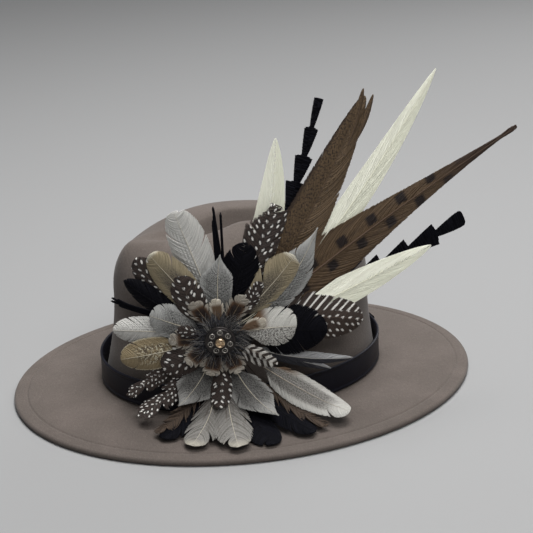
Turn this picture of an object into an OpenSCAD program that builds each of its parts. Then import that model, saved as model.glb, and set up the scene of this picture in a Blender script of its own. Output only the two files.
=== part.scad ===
// Wide-brimmed felt hat with a teardrop crown, a strap band and a pinned feather mount.
// Front of the hat is -X, the wearer's left is -Y, and the brim rests on z = 0.

/* [Head] */
// Length of the crown over the felt, front to back
head_len = 204; // [190:1:216]
// Width of the crown over the felt
head_wid = 170; // [158:1:182]
// Thickness of the felt
felt = 2; // [1.6:0.1:2.4]

/* [Crown] */
// Height at which the crown wall leaves the brim
crown_base = 10; // [9:0.5:12]
// Height at which the wall starts to roll over
shoulder = 76; // [68:1:84]
// Height of the ridge round the top
crown_top = 125; // [115:1:132]
// Depth of the crease inside the ridge
crease = 22; // [14:1:28]
// Half the distance between the two side ridges
ridge_half = 16; // [13:1:24]
// Reach of the ridge towards the front
ridge_front = 74; // [66:1:80]
// Reach of the ridge towards the back
ridge_back = 66; // [58:1:72]

/* [Brim] */
// Width of the brim at the front
brim_front = 68; // [55:1:75]
// Width of the brim at the sides
brim_side = 58; // [50:1:68]
// Width of the brim at the back
brim_back = 72; // [55:1:76]
// Width of the folded edge
welt = 9.5; // [8:0.5:11]
// Thickness of the felt layer that is folded under
welt_felt = 1.4; // [1.2:0.1:1.6]
// Diameter of the steel wire inside the fold
wire_d = 1; // [0.8:0.1:1.1]

/* [Bands] */
// Height of the strap round the crown
strap_h = 20; // [16:1:24]
// Thickness of the strap
strap_t = 1.9; // [1.6:0.1:2]
// Height of the leather sweatband
sweat_h = 32; // [26:1:36]
// Thickness of the sweatband
sweat_t = 1; // [0.8:0.1:1.2]

/* [Feather mount] */
// Height of the middle of the mount
mount_z = 71.5; // [68:0.5:74]
// Direction that the mount faces, turned forward from the wearer's left
mount_turn = 20; // [18:0.5:22]
// Distance between one layer of feathers and the next
layer_gap = 1.1; // [1:0.05:1.2]
// Thickness of a feather's vane
vane_t = 0.5; // [0.4:0.05:0.55]
// Radius of the pad that holds the quills
pad_r = 13; // [12.5:0.5:14]
// Radius of the button
button_r = 10.5; // [9.5:0.5:11.5]
// Diameter of the two tack pins
pin_d = 1.2; // [1:0.1:1.3]
// Distance between the tack pins
pin_span = 18; // [16:1:20]

/* [Hidden] */

len_half = head_len / 2;
wid_half = head_wid / 2;
around = 64;                        // points round the hat
lean_front = 10;                    // how far the wall leans in at the front
lean_back = 6;                      // and at the back and sides
roll_power = 0.83;                  // squareness of the roll from wall to ridge
ridge_drop = 1.3;                   // how much lower the ridge is at its two ends
fillet = 2.5;                       // radius between the crown wall and the brim
edge_h = felt + wire_d + 0.3 + welt_felt;   // full thickness of the folded edge
channel_low = welt_felt;            // floor of the wire's channel
channel_high = welt_felt + wire_d + 0.3;    // its ceiling
groove = 0.6;                       // depth of the pressed line beside the fold

strap_gap_x = 1.3;                  // the strap stands off the felt at the front and back
strap_gap_y = 0.4;
strap_low = crown_base + 1.2;
sweat_low = crown_base - 1;

front_r = 98;                       // plan radius of the feathers' sheet towards the front
back_r = 125;                       // and towards the back, as far as back_run
back_run = 50;
sheet_lean = 5;                     // how far the sheet leans in, in degrees
drop_run = 26;                      // below this the sheet bends out over the brim
drop_r = 42;
drop_turn = 68;
quill_half = 0.7;                   // half width of a bare quill
step = 9;                           // longest stretch between two stations on a feather
first_layer = 0.5;

disc_back = -4.9;                   // the mount's parts, measured outward from its origin
disc_t = 1.5;
disc_r = 23;
pad_top = 15;
pin_tip = -17;
wall_in = -9.8;                      // just inside the felt at the mount
clutch_bore_gap = 0.05;
pin_hole_d = 2.4;

// ---- the oval of the head and the outline of the brim, as functions of the angle ----
function oval(a, b, t) = 1 / sqrt(pow(cos(t) / a, 2) + pow(sin(t) / b, 2));
function head_r(t, out = 0) = oval(len_half + out, wid_half + out, t);
function brim_r(t) = oval(len_half + (cos(t) > 0 ? brim_back : brim_front), wid_half + brim_side, t);
function lean(t) = lean_back + (cos(t) < 0 ? (lean_front - lean_back) * pow(cos(t), 2) : 0);
function ridge_r(t) = oval(cos(t) > 0 ? ridge_back : ridge_front, ridge_half, t);
function ridge_z(t, u) = crown_top - ridge_drop * cos(2 * t) * u * u - 6 * pow(max(0, -cos(t)), 3) * u * u;

function at(r, t, z) = [r * cos(t), r * sin(t), z];
function ring(f) = [for (j = [0 : around - 1]) f(j * 360 / around)];

// ---- rings of the felt, from the middle of the crease down to the brim ----
function crease_ring(u) = ring(function(t)
    at(ridge_r(t) * u, t, ridge_z(t, u) - crease * pow(1 - u * u, 1.5)));
function roll_ring(a) = ring(function(t) let(
    wall = head_r(t) - lean(t),
    top = ridge_r(t))
    at(top + (wall - top) * pow(cos(a), roll_power), t,
        shoulder + (ridge_z(t, 1) - shoulder) * pow(sin(a), roll_power)));
function wall_ring(f) = ring(function(t)
    at(head_r(t) - lean(t) * sin(90 * f), t,
        crown_base + fillet + (shoulder - crown_base - fillet) * f));

crown_rings = concat(
    [for (i = [1 : 6]) crease_ring(i / 7)],
    [for (i = [8 : -1 : 1]) roll_ring(90 * i / 8)],
    [for (i = [5 : -1 : 0]) wall_ring(i / 5)]);

// ---- the brim, as a section of distance from the crown wall or from the edge ----
function brim_z(d, w) = crown_base + (edge_h - crown_base) * d / w;
function from_wall(d, z) = ring(function(t) at(head_r(t) + d, t, z));
function from_edge(d, dz) = ring(function(t) let(w = brim_r(t) - head_r(t))
    at(brim_r(t) - d, t, brim_z(w - d, w) + dz));
function edge_level(d, z) = ring(function(t) at(brim_r(t) - d, t, z));

lip_r = edge_h / 2;
brim_rings = concat(
    [for (a = [30, 60, 90]) from_wall(fillet * (1 - cos(a)), crown_base + fillet * (1 - sin(a)))],
    [for (f = [1 : 3]) ring(function(t) let(w = brim_r(t) - head_r(t), d = (w - welt) * f / 4)
        at(head_r(t) + d, t, brim_z(d, w)))],
    [from_edge(welt + 1.2, 0), from_edge(welt, -groove), from_edge(welt - 1.2, 0)],
    [from_edge(lip_r, 0)],
    [for (a = [60, 30, 0, -30, -60, -90])
        edge_level(lip_r * (1 - cos(a)), lip_r * (1 + sin(a)))],
    [edge_level(welt, 0), edge_level(welt, channel_low), edge_level(felt + wire_d / 2 + 0.2, channel_low),
        edge_level(felt - 0.1, (channel_low + channel_high) / 2),
        edge_level(felt + wire_d / 2 + 0.2, channel_high),
        edge_level(welt, channel_high)],
    [ring(function(t) at(head_r(t) + fillet, t, crown_base - felt))]);

// ---- the inner face of the crown is the outer one moved in along its own normals ----
function row_normal(rows, i, j) = let(
    a = rows[max(0, i - 1)],
    b = rows[min(len(rows) - 1, i + 1)],
    side = rows[i][(j + 1) % around] - rows[i][(j + around - 1) % around],
    down = b[j] - a[j],
    n = cross(down, side))
    n / norm(n);
inner_rings = [for (i = [len(crown_rings) - 1 : -1 : 0])
    [for (j = [0 : around - 1]) crown_rings[i][j] - felt * row_normal(crown_rings, i, j)]];

felt_rings = concat(crown_rings, brim_rings, inner_rings);
crease_low = crown_top - crease;

module felt_shell() {
    n = len(felt_rings);
    points = concat([for (r = felt_rings) each r], [[0, 0, crease_low], [0, 0, crease_low - felt]]);
    top = n * around;
    skin = [for (i = [0 : n - 2], j = [0 : around - 1]) let(k = (j + 1) % around) each [
        [i * around + j, (i + 1) * around + k, (i + 1) * around + j],
        [i * around + j, i * around + k, (i + 1) * around + k]]];
    caps = [for (j = [0 : around - 1]) let(k = (j + 1) % around) each [
        [top, k, j],
        [top + 1, (n - 1) * around + j, (n - 1) * around + k]]];
    polyhedron(points, [for (f = concat(skin, caps)) [f[0], f[2], f[1]]], convexity = 8);
}

module felt_body() {
    color("#6b5f58") difference() {
        felt_shell();
        for (x = [-1, 1]) at_mount()
            translate([x * pin_span / 2, 0, wall_in - 3]) cylinder(h = 12, d = pin_hole_d, $fn = 24);
    }
}

// ---- straps and rings round the head ----
module oval_band(out, thick, low, height, gap_x = 0, gap_y = 0) {
    steps = 96;
    outer = [for (i = [0 : steps - 1]) let(t = i * 360 / steps)
        oval(len_half + out + gap_x, wid_half + out + gap_y, t) * [cos(t), sin(t)]];
    inner = [for (i = [0 : steps - 1]) let(t = i * 360 / steps)
        oval(len_half + out + gap_x - thick, wid_half + out + gap_y - thick, t) * [cos(t), sin(t)]];
    translate([0, 0, low]) linear_extrude(height) difference() {
        polygon(outer);
        polygon(inner);
    }
}

module strap_band() {
    color("#17171d") oval_band(strap_t, strap_t, strap_low, strap_h, strap_gap_x, strap_gap_y);
}

// the sweatband follows the lean of the wall, just inside the felt
function wall_inside(t, z, in) = let(f = max(0, (z - crown_base - fillet) / (shoulder - crown_base - fillet)))
    at(head_r(t) - lean(t) * sin(90 * f) - felt - in, t, z);
sweat_gap = 0.35;
module sweatband() {
    rows = 4;
    rings = concat(
        [for (i = [0 : rows]) ring(function(t) wall_inside(t, sweat_low + sweat_h * i / rows, sweat_gap))],
        [for (i = [rows : -1 : 0])
            ring(function(t) wall_inside(t, sweat_low + sweat_h * i / rows, sweat_gap + sweat_t))]);
    n = len(rings);
    faces = [for (i = [0 : n - 1], j = [0 : around - 1]) let(k = (j + 1) % around, m = (i + 1) % n) each [
        [i * around + j, m * around + j, m * around + k],
        [i * around + j, m * around + k, i * around + k]]];
    color("#4a3527") polyhedron([for (r = rings) each r], faces, convexity = 6);
}

// a small flat bow over the join at the back of the sweatband
module sweatband_bow() {
    inside = wall_inside(0, sweat_low + 12, sweat_gap + sweat_t).x;
    color("#3a2a20") translate([inside - 2.3, 0, sweat_low + 8]) rotate([90, 0, 90]) linear_extrude(1.4)
        polygon([[-9, 4], [-9.6, 0], [-9, -4], [-2, -1.4], [0, -2], [2, -1.4], [9, -4], [9.6, 0], [9, 4],
            [2, 1.4], [0, 2], [-2, 1.4]]);
}

// a leather loop over the join of the strap, at the back
module band_keeper() {
    out = len_half + strap_gap_x + strap_t + 0.2;
    color("#101015") translate([out, 0, strap_low - 0.2]) linear_extrude(strap_h + 0.6)
        polygon([[0.1, -6], [1.3, -5.4], [1.5, 0], [1.3, 5.4], [0.1, 6], [0.3, 0]]);
}

module brim_wire() {
    mid = (channel_low + channel_high) / 2;
    sides = 8;
    points = [for (i = [0 : around - 1], k = [0 : sides - 1]) let(
        t = i * 360 / around,
        r = brim_r(t) - felt - wire_d / 2 - 0.4 + wire_d / 2 * cos(k * 360 / sides))
        at(r, t, mid + wire_d / 2 * sin(k * 360 / sides))];
    faces = [for (i = [0 : around - 1], k = [0 : sides - 1]) let(
        a = i * sides + k,
        b = i * sides + (k + 1) % sides,
        c = ((i + 1) % around) * sides + (k + 1) % sides,
        d = ((i + 1) % around) * sides + k) each [[a, c, b], [a, d, c]]];
    color("#8d9096") polyhedron(points, [for (f = faces) [f[0], f[2], f[1]]], convexity = 4);
}

// ---- the feather mount ----
// x runs back along the crown, y up, z straight out of the felt
function mount_wall(t) = let(n = [-sin(t), -cos(t)], k = norm([len_half * n.x, wid_half * n.y]))
    [len_half * len_half * n.x / k, wid_half * wid_half * n.y / k];
mount_xy = mount_wall(mount_turn);

module at_mount() {
    translate([mount_xy.x, mount_xy.y, mount_z]) rotate([90, 0, -mount_turn]) children();
}

module backing_disc() {
    color("#2b2724") at_mount() translate([0, 0, disc_back]) difference() {
        cylinder(h = disc_t, r = disc_r, $fn = 64);
        for (x = [-1, 1]) translate([x * pin_span / 2, 0, -1]) cylinder(h = disc_t + 2, d = pin_d, $fn = 24);
    }
}

module stem_pad() {
    color("#1c1a1b") at_mount() translate([0, 0, disc_back + disc_t])
        cylinder(h = pad_top - disc_back - disc_t, r = pad_r, $fn = 64);
}

// each pin has a flat head between the disc and the pad, and a pointed tip
module tack_pins() {
    color("#b9a77a") at_mount() for (x = [-1, 1]) translate([x * pin_span / 2, 0, 0]) {
        translate([0, 0, pin_tip + 2]) cylinder(h = disc_back + disc_t - pin_tip - 2, d = pin_d, $fn = 24);
        translate([0, 0, pin_tip]) cylinder(h = 2, d1 = 0.3, d2 = pin_d, $fn = 24);
    }
}

module clutch(x) {
    at_mount() translate([x * pin_span / 2, 0, wall_in - 5]) rotate([0, 0, x * 20]) difference() {
        union() {
            cylinder(h = 4, r = 2.6, $fn = 32);
            translate([0, 0, 3.2]) cylinder(h = 0.8, r = 4.6, $fn = 48);
            for (side = [0, 180]) rotate([0, 0, side]) translate([-1.6, 1.8, 0]) cube([3.2, 4.6, 0.8]);
        }
        translate([0, 0, -1]) cylinder(h = 6, d = pin_d + 2 * clutch_bore_gap, $fn = 24);
    }
}
module front_clutch() {
    color("#a9975f") clutch(-1);
}
module rear_clutch() {
    color("#a9975f") clutch(1);
}

// ---- the button in the middle of the feathers ----
button_low = pad_top;
module button_dome() {
    color("#2c2826") at_mount() translate([0, 0, button_low]) rotate_extrude($fn = 96)
        polygon([[0, 0], [button_r - 0.6, 0], [button_r, 0.6], [button_r, 1.6], [button_r - 0.5, 2.2],
            [8.6, 2.9], [6.5, 3.5], [4.2, 3.9], [0, 4]]);
}
stud_count = 7;
module button_studs() {
    color("#77716a") at_mount() translate([0, 0, button_low + 3.1]) for (i = [0 : stud_count - 1])
        rotate([0, 0, 90 + i * 360 / stud_count]) translate([6.9, 0, 0])
            rotate_extrude($fn = 32) translate([1.25, 0.75]) circle(r = 0.5, $fn = 16);
}
module button_bead() {
    color("#a97d4f") at_mount() translate([0, 0, button_low + 4]) rotate_extrude($fn = 48)
        polygon([[0, 0], [2.6, 0], [3.2, 0.5], [3.3, 1.1], [2.9, 1.9], [2.1, 2.5], [1, 2.8], [0, 2.9]]);
}

// ---- the curved sheet that the feathers lie in ----
// s runs back round the crown, q runs up, w is the height of the layer
rad = 180 / PI;
function facing(s) = mount_turn - rad * (s < 0 ? s / front_r : min(s, back_run) / back_r);
function outward(s) = let(a = facing(s)) [-sin(a), -cos(a)];
function plan(s) = let(r = s < 0 ? front_r : back_r, n = outward(s), over = max(0, s - back_run))
    mount_xy + r * (n - outward(0)) + over * [-n.y, n.x];
function bend(q) = sheet_lean + rad * min(max(0, -q - drop_run), drop_r * drop_turn / rad) / drop_r;
function flat(q) = q < -drop_run ? max(0, -q - drop_run - drop_r * drop_turn / rad) : 0;
function sheet_out(q) = let(b = bend(q), top = -max(q, -drop_run))
    top * sin(sheet_lean) + drop_r * (cos(sheet_lean) - cos(b)) + flat(q) * sin(b);
function sheet_up(q) = let(b = bend(q), top = max(q, -drop_run))
    top * cos(sheet_lean) - drop_r * (sin(b) - sin(sheet_lean)) - flat(q) * cos(b);
function wrap(p, w) = let(
    b = bend(p.y),
    xy = plan(p.x) + outward(p.x) * (sheet_out(p.y) + w * cos(b)))
    [xy.x, xy.y, mount_z + sheet_up(p.y) + w * sin(b)];

// ---- one feather: a thin closed blade on a curved quill ----
function curve(a, b, c, t) = (1 - t) * (1 - t) * a + 2 * t * (1 - t) * b + t * t * c;
function across(a, b, c, t) = let(d = (1 - t) * (b - a) + t * (c - b)) [-d.y, d.x] / norm(d);
function outline(x, lo, hi) = let(peak = lo / (lo + hi))
    x <= 0 || x >= 1 ? 0 : pow(x / peak, lo) * pow((1 - x) / (1 - peak), hi);

// layer, root, middle, tip, width, where the vane starts, fullness at its foot and at its tip
function stations(f) = ceil((norm(f[2] - f[1]) + norm(f[3] - f[2])) / step) + 2;
function blade_points(f) = let(n = stations(f), w = first_layer + layer_gap * f[0])
    [for (i = [0 : n]) let(
        t = i / n,
        p = curve(f[1], f[2], f[3], t),
        h = max(quill_half, f[4] / 2 * outline((t - f[5]) / (1 - f[5]), f[6], f[7])),
        side = across(f[1], f[2], f[3], t) * h)
        each [wrap(p + side, w), wrap(p, w + vane_t / 2), wrap(p - side, w), wrap(p, w - vane_t / 2)]];
function blade_faces(n, at) = concat(
    [[at, at + 1, at + 2], [at, at + 2, at + 3]],
    [for (i = [0 : n - 1], k = [0 : 3]) let(
        a = at + i * 4 + k,
        b = at + i * 4 + (k + 1) % 4) each k < 2 ?
            [[a, a + 4, b + 4], [a, b + 4, b]] :
            [[a, a + 4, b], [b, a + 4, b + 4]]],
    [[at + n * 4, at + n * 4 + 2, at + n * 4 + 1], [at + n * 4, at + n * 4 + 3, at + n * 4 + 2]]);
function starts(list, i = 0, sum = 0) = i >= len(list) ? [] :
    concat([sum], starts(list, i + 1, sum + 4 * (stations(list[i]) + 1)));

module feathers(list) {
    first = starts(list);
    polyhedron([for (f = list) each blade_points(f)],
        [for (i = [0 : len(list) - 1]) each blade_faces(stations(list[i]), first[i])], convexity = 6);
}

// long quills
module cream_quill_top() {
    color("#d8d6bd") feathers([[1, [6, 8], [38, 44], [46, 130], 23, 0.25, 0.5, 0.7]]);
}
module cream_quill_tall() {
    color("#d8d6bd") feathers([[1, [10, 3], [62, 40], [167, 163], 19, 0.3, 0.5, 0.7]]);
}
module cream_quill_right() {
    color("#d8d6bd") feathers([[4, [11, -1], [60, 16], [156, 39], 22, 0.25, 0.4, 0.8]]);
}
module brown_quill_tall() {
    color("#6a543c") feathers([[2, [9, 6], [50, 40], [114, 154], 27, 0.25, 0.4, 0.35]]);
}
module barred_tail_quill() {
    color("#7a5233") feathers([[3, [10, 0], [72, 24], [228, 116], 34, 0.15, 0.35, 0.7]]);
}
module arrow_quill_upper() {
    color("#14151c") feathers([[0, [8, 7], [42, 40], [80, 152], 12, 0.3, 0.3, 0.2]]);
}
module arrow_quill_lower() {
    color("#14151c") feathers([[0, [10, -3], [86, 14], [187, 54], 14, 0.4, 0.3, 0.2]]);
}
module navy_blades() {
    color("#171a26") feathers([
        [2, [10, 2], [60, 14], [104, 36], 12, 0.3, 0.4, 0.9],
        [1, [10, -1], [58, 8], [92, 20], 10, 0.3, 0.4, 0.9]]);
}

// spotted feathers
module guinea_feather_top() {
    color("#2b2422") feathers([[6, [4, 9], [24, 40], [38, 88], 28, 0.25, 0.6, 0.15]]);
}
module guinea_feather_right() {
    color("#3a2d24") feathers([[5, [10, 1], [45, 13], [101, -5], 35, 0.15, 0.7, 0.5]]);
}
module guinea_feathers_left() {
    color("#2b2422") feathers([
        [6, [-8, 5], [-38, 30], [-59, 48], 22, 0.2, 0.6, 0.4],
        [10, [-6, 4], [-18, 22], [-24, 42], 21, 0.1, 0.6, 0.4]]);
}
module guinea_feather_low_left() {
    color("#2b2422") feathers([[10, [-7, -6], [-22, -16], [-36, -25], 21, 0.1, 0.6, 0.4]]);
}
module guinea_tufts_front() {
    color("#2b2422") feathers([
        [6, [-8, -6], [-40, -28], [-60, -54], 13, 0.3, 0.6, 0.4],
        [4, [-7, -7], [-30, -40], [-48, -68], 16, 0.3, 0.6, 0.3]]);
}
module guinea_feather_bottom() {
    color("#2b2422") feathers([[9, [0, -9], [1, -30], [-2, -58], 13, 0.2, 0.6, 0.4]]);
}

// black, white and grey petals
module black_petal_top() {
    color("#101014") feathers([[5, [2, 10], [14, 28], [22, 67], 21, 0.15, 0.6, 0.4]]);
}
module black_petal_left() {
    color("#101014") feathers([[7, [-8, 3], [-40, 22], [-65, 33], 18, 0.2, 0.6, 0.6]]);
}
module black_petal_right() {
    color("#101014") feathers([[6, [10, -1], [38, 0], [68, -6], 28, 0.15, 0.6, 0.5]]);
}
module black_petals_low() {
    color("#101014") feathers([
        [1, [3, -10], [14, -50], [24, -92], 20, 0.3, 0.6, 0.4],
        [2, [5, -9], [28, -50], [46, -88], 16, 0.3, 0.6, 0.4],
        [1, [-3, -10], [-12, -50], [-30, -84], 14, 0.3, 0.6, 0.4]]);
}
module white_petal_top() {
    color("#c3c2bd") feathers([[4, [-2, 10], [-10, 42], [-28, 85], 28, 0.2, 0.6, 0.35]]);
}
module white_petal_left() {
    color("#c3c2bd") feathers([[6, [-9, 0], [-42, 4], [-76, -6], 20, 0.2, 0.6, 0.5]]);
}
module white_petal_right() {
    color("#c3c2bd") feathers([[9, [9, 1], [26, 6], [48, 2], 28, 0.1, 0.7, 0.35]]);
}
module white_fringe_bottom() {
    color("#cfc7b2") feathers([[5, [-2, -10], [-4, -55], [-14, -92], 21, 0.3, 0.6, 0.3]]);
}
module white_petal_bottom() {
    color("#cfc7b2") feathers([[6, [1, -10], [2, -52], [7, -96], 22, 0.3, 0.6, 0.35]]);
}
module speckled_leaf_low_right() {
    color("#bfbdb6") feathers([[5, [8, -8], [34, -34], [73, -82], 24, 0.3, 0.55, 0.5]]);
}
module grey_petal_top() {
    color("#8d8d8b") feathers([[9, [0, 9], [-2, 35], [2, 57], 23, 0.1, 0.6, 0.6]]);
}
module grey_petal_left() {
    color("#8d8d8b") feathers([[9, [-8, 2], [-24, 8], [-44, 13], 25, 0.1, 0.6, 0.4]]);
}
module grey_petal_low_left() {
    color("#8d8d8b") feathers([[7, [-5, -8], [-12, -34], [-25, -57], 25, 0.2, 0.6, 0.45]]);
}
module grey_petal_low_right() {
    color("#8d8d8b") feathers([[8, [4, -9], [12, -40], [30, -72], 24, 0.2, 0.6, 0.45]]);
}
module grey_petal_upper_right() {
    color("#9a9a97") feathers([[7, [8, 6], [46, 24], [69, 67], 28, 0.2, 0.6, 0.6]]);
}

// brown petals and the small ring round the button
module olive_petal_left() {
    color("#7d6f52") feathers([[8, [-6, 7], [-20, 32], [-44, 55], 25, 0.15, 0.6, 0.4]]);
}
module olive_petal_right() {
    color("#8a7c5f") feathers([[8, [6, 7], [24, 22], [50, 51], 26, 0.2, 0.6, 0.35]]);
}
module tan_petal_left() {
    color("#8b7656") feathers([[8, [-9, -3], [-36, -12], [-67, -24], 23, 0.2, 0.6, 0.45]]);
}
module brown_fluff_low() {
    color("#6f5b45") feathers([
        [3, [-4, -9], [-16, -50], [-34, -80], 12, 0.3, 0.6, 0.4],
        [3, [6, -8], [32, -46], [56, -84], 12, 0.4, 0.6, 0.4]]);
}
module slim_blades_right() {
    color("#3c4046") feathers([
        [3, [9, -5], [40, -20], [75, -37], 9, 0.2, 0.5, 0.7],
        [4, [9, -6], [50, -26], [92, -32], 9, 0.3, 0.5, 0.7]]);
}
module eye_feathers() {
    color("#6e5138") feathers([for (e = [[122, 30], [62, 33], [184, 31], [222, 27], [256, 27], [292, 27]])
        [11, 6 * [cos(e[0]), sin(e[0])], 18 * [cos(e[0]), sin(e[0])], e[1] * [cos(e[0]), sin(e[0])],
            13, 0.2, 0.6, 0.4]]);
}
module small_guinea_feathers() {
    color("#2b2422") feathers([
        [10, [6, 6], [18, 20], [26, 37], 11, 0.2, 0.6, 0.4],
        [12, [-8, 2], [-16, 4], [-25, 6], 9, 0.2, 0.6, 0.4]]);
}
module striped_curls() {
    color("#5b5148") feathers([
        [10, [7, -7], [18, -14], [34, -22], 11, 0.2, 0.6, 0.5],
        [12, [8, -5], [18, -8], [28, -16], 8, 0.2, 0.6, 0.5]]);
}
module cream_fluff() {
    color("#cbbf9f") feathers([
        [12, [0, 8], [-1, 18], [-2, 28], 9, 0.2, 0.6, 0.4],
        [12, [8, 2], [18, 8], [28, 10], 9, 0.2, 0.6, 0.4]]);
}
module black_wisps() {
    color("#141418") feathers([
        [3, [0, 10], [1, 55], [0, 86], 5, 0.3, 0.5, 0.9],
        [3, [-9, 3], [-45, 10], [-75, 10], 4, 0.4, 0.5, 0.9]]);
}

felt_body();
brim_wire();
sweatband();
sweatband_bow();
strap_band();
band_keeper();
backing_disc();
stem_pad();
tack_pins();
front_clutch();
rear_clutch();
button_dome();
button_studs();
button_bead();
cream_quill_top();
cream_quill_tall();
cream_quill_right();
brown_quill_tall();
barred_tail_quill();
arrow_quill_upper();
arrow_quill_lower();
navy_blades();
guinea_feather_top();
guinea_feather_right();
guinea_feathers_left();
guinea_feather_low_left();
guinea_tufts_front();
guinea_feather_bottom();
black_petal_top();
black_petal_left();
black_petal_right();
black_petals_low();
white_petal_top();
white_petal_left();
white_petal_right();
white_fringe_bottom();
white_petal_bottom();
speckled_leaf_low_right();
grey_petal_top();
grey_petal_left();
grey_petal_low_left();
grey_petal_low_right();
grey_petal_upper_right();
olive_petal_left();
olive_petal_right();
tan_petal_left();
brown_fluff_low();
slim_blades_right();
eye_feathers();
small_guinea_feathers();
striped_curls();
cream_fluff();
black_wisps();
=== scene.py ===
import math

import bpy
import numpy as np
from mathutils import Matrix, Vector


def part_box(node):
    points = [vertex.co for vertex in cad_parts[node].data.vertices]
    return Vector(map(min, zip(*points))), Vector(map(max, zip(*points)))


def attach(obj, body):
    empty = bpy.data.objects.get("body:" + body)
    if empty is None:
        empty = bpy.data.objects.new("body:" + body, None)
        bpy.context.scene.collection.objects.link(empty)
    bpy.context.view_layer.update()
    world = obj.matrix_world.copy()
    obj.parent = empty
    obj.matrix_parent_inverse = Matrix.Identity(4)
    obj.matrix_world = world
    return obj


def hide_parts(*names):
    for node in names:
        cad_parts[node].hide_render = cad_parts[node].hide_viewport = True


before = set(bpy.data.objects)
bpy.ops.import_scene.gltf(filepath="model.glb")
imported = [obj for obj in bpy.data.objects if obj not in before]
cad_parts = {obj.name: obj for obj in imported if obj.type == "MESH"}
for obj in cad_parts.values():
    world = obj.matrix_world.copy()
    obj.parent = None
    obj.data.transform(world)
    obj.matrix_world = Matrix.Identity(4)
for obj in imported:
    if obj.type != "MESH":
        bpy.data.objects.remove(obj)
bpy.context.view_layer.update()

# ------------------------------------------------------------------ camera, floor and lights
# The camera looks at the wearer's left from a little ahead of it and above the brim.
# The floor is a plain pale sheet, and three soft lamps stand round the hat.
AZIMUTH, ELEVATION, ROLL = (math.radians(a) for a in (-20.0, 19.97, -2.0))
LOOK_AT = Vector((0.0222, 0.0, 0.083))
DISTANCE, LENS, SENSOR = 1.1, 101.0, 36.0
FLOOR_HALF, FLOOR_GREY = 6.0, 0.25
camera = bpy.data.objects.new("camera", bpy.data.cameras.new("camera"))
camera.data.lens = LENS
camera.data.sensor_width = SENSOR
camera.data.clip_end = 20.0
bpy.context.scene.collection.objects.link(camera)
bpy.context.scene.camera = camera
back = Vector((math.sin(AZIMUTH) * math.cos(ELEVATION), -math.cos(AZIMUTH) * math.cos(ELEVATION),
               math.sin(ELEVATION)))
level = Vector((math.cos(AZIMUTH), math.sin(AZIMUTH), 0.0))
camera_x = math.cos(ROLL) * level + math.sin(ROLL) * back.cross(level)
turn = Matrix((camera_x, back.cross(camera_x), back)).transposed()
camera.matrix_world = Matrix.Translation(LOOK_AT + DISTANCE * back) @ turn.to_4x4()

floor_mesh = bpy.data.meshes.new("floor")
corners = [(x * FLOOR_HALF, y * FLOOR_HALF, 0) for x, y in ((-1, -1), (1, -1), (1, 1), (-1, 1))]
floor_mesh.from_pydata(corners, [], [(0, 1, 2, 3)])
floor = bpy.data.objects.new("floor", floor_mesh)
bpy.context.scene.collection.objects.link(floor)
floor_paint = bpy.data.materials.new("floor_paint")
floor_paint.use_nodes = True
floor_shader = floor_paint.node_tree.nodes["Principled BSDF"]
floor_shader.inputs["Base Color"].default_value = (FLOOR_GREY, FLOOR_GREY, FLOOR_GREY, 1)
floor_shader.inputs["Roughness"].default_value = 0.9
floor_mesh.materials.append(floor_paint)

world = bpy.data.worlds.new("studio")
world.use_nodes = True
world.node_tree.nodes["Background"].inputs["Color"].default_value = (0.72, 0.73, 0.75, 1)
world.node_tree.nodes["Background"].inputs["Strength"].default_value = 0.30
bpy.context.scene.world = world
bpy.context.scene.view_settings.view_transform = "Standard"


def soft_light(name, place, size, watts):
    lamp = bpy.data.lights.new(name, "AREA")
    lamp.size = size
    lamp.energy = watts
    light = bpy.data.objects.new(name, lamp)
    bpy.context.scene.collection.objects.link(light)
    aim = Vector((0.0, 0.0, 0.08)) - Vector(place)
    light.matrix_world = Matrix.Translation(place) @ aim.to_track_quat("-Z", "Y").to_matrix().to_4x4()


soft_light("key_light", (0.1, -1.2, 1.5), 0.8, 15)
soft_light("top_light", (0.15, 0.1, 1.7), 1.0, 42)
soft_light("back_light", (1.3, 0.9, 0.9), 0.9, 8)

# ------------------------------------------------------------------ felt body
# Crown and brim are one hood of taupe wool felt, steamed and pulled over a block, with a
# teardrop crease pressed in from above. The brim's edge is folded under and pressed flat,
# which leaves a line round the top of the brim.
MM = 0.001
strap_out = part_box("strap_band")[1] / MM
STRAP_PROUD_BACK, STRAP_PROUD_SIDE = 3.2, 2.3
HALF_LEN, HALF_WID = strap_out.x - STRAP_PROUD_BACK, strap_out.y - STRAP_PROUD_SIDE
felt_front, felt_back = (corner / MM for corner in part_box("felt_body"))
BRIM_FRONT, BRIM_BACK, BRIM_SIDE = -felt_front.x, felt_back.x, felt_back.y
CROWN_BASE, SHOULDER, CREASE = 10.0, 76.0, 22.0
RIDGE_DROP, FRONT_DIP, ROLL_POWER = 1.3, 6, 0.83
LEAN, LEAN_MORE_AHEAD = 6, 4
CROWN_TOP = felt_back.z - RIDGE_DROP
RIDGE_FRONT, RIDGE_BACK, RIDGE_HALF = 74.0, 66.0, 16.0
FELT, FILLET, EDGE_H = 2.0, 2.5, 4.7
WELT, GROOVE, GROOVE_HALF, LIP = 9.5, 0.6, 1.5, EDGE_H / 2
WELT_FELT, CHANNEL_TOP = 1.4, 2.7
AROUND, CREASE_ROWS, ROLL_ROWS, WALL_ROWS, FOOT_ROWS, BRIM_ROWS, UNDER_ROWS = 288, 18, 28, 14, 6, 15, 8
turn_round = np.arange(AROUND) * 2 * np.pi / AROUND
ahead = np.maximum(0, -np.cos(turn_round))


def oval(along, wide, angle=turn_round):
    return 1 / np.hypot(np.cos(angle) / along, np.sin(angle) / wide)


def ring(radius, height):
    radius, height = np.broadcast_arrays(radius, height, turn_round)[:2]
    return np.stack([radius * np.cos(turn_round), radius * np.sin(turn_round), height], -1)


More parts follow.
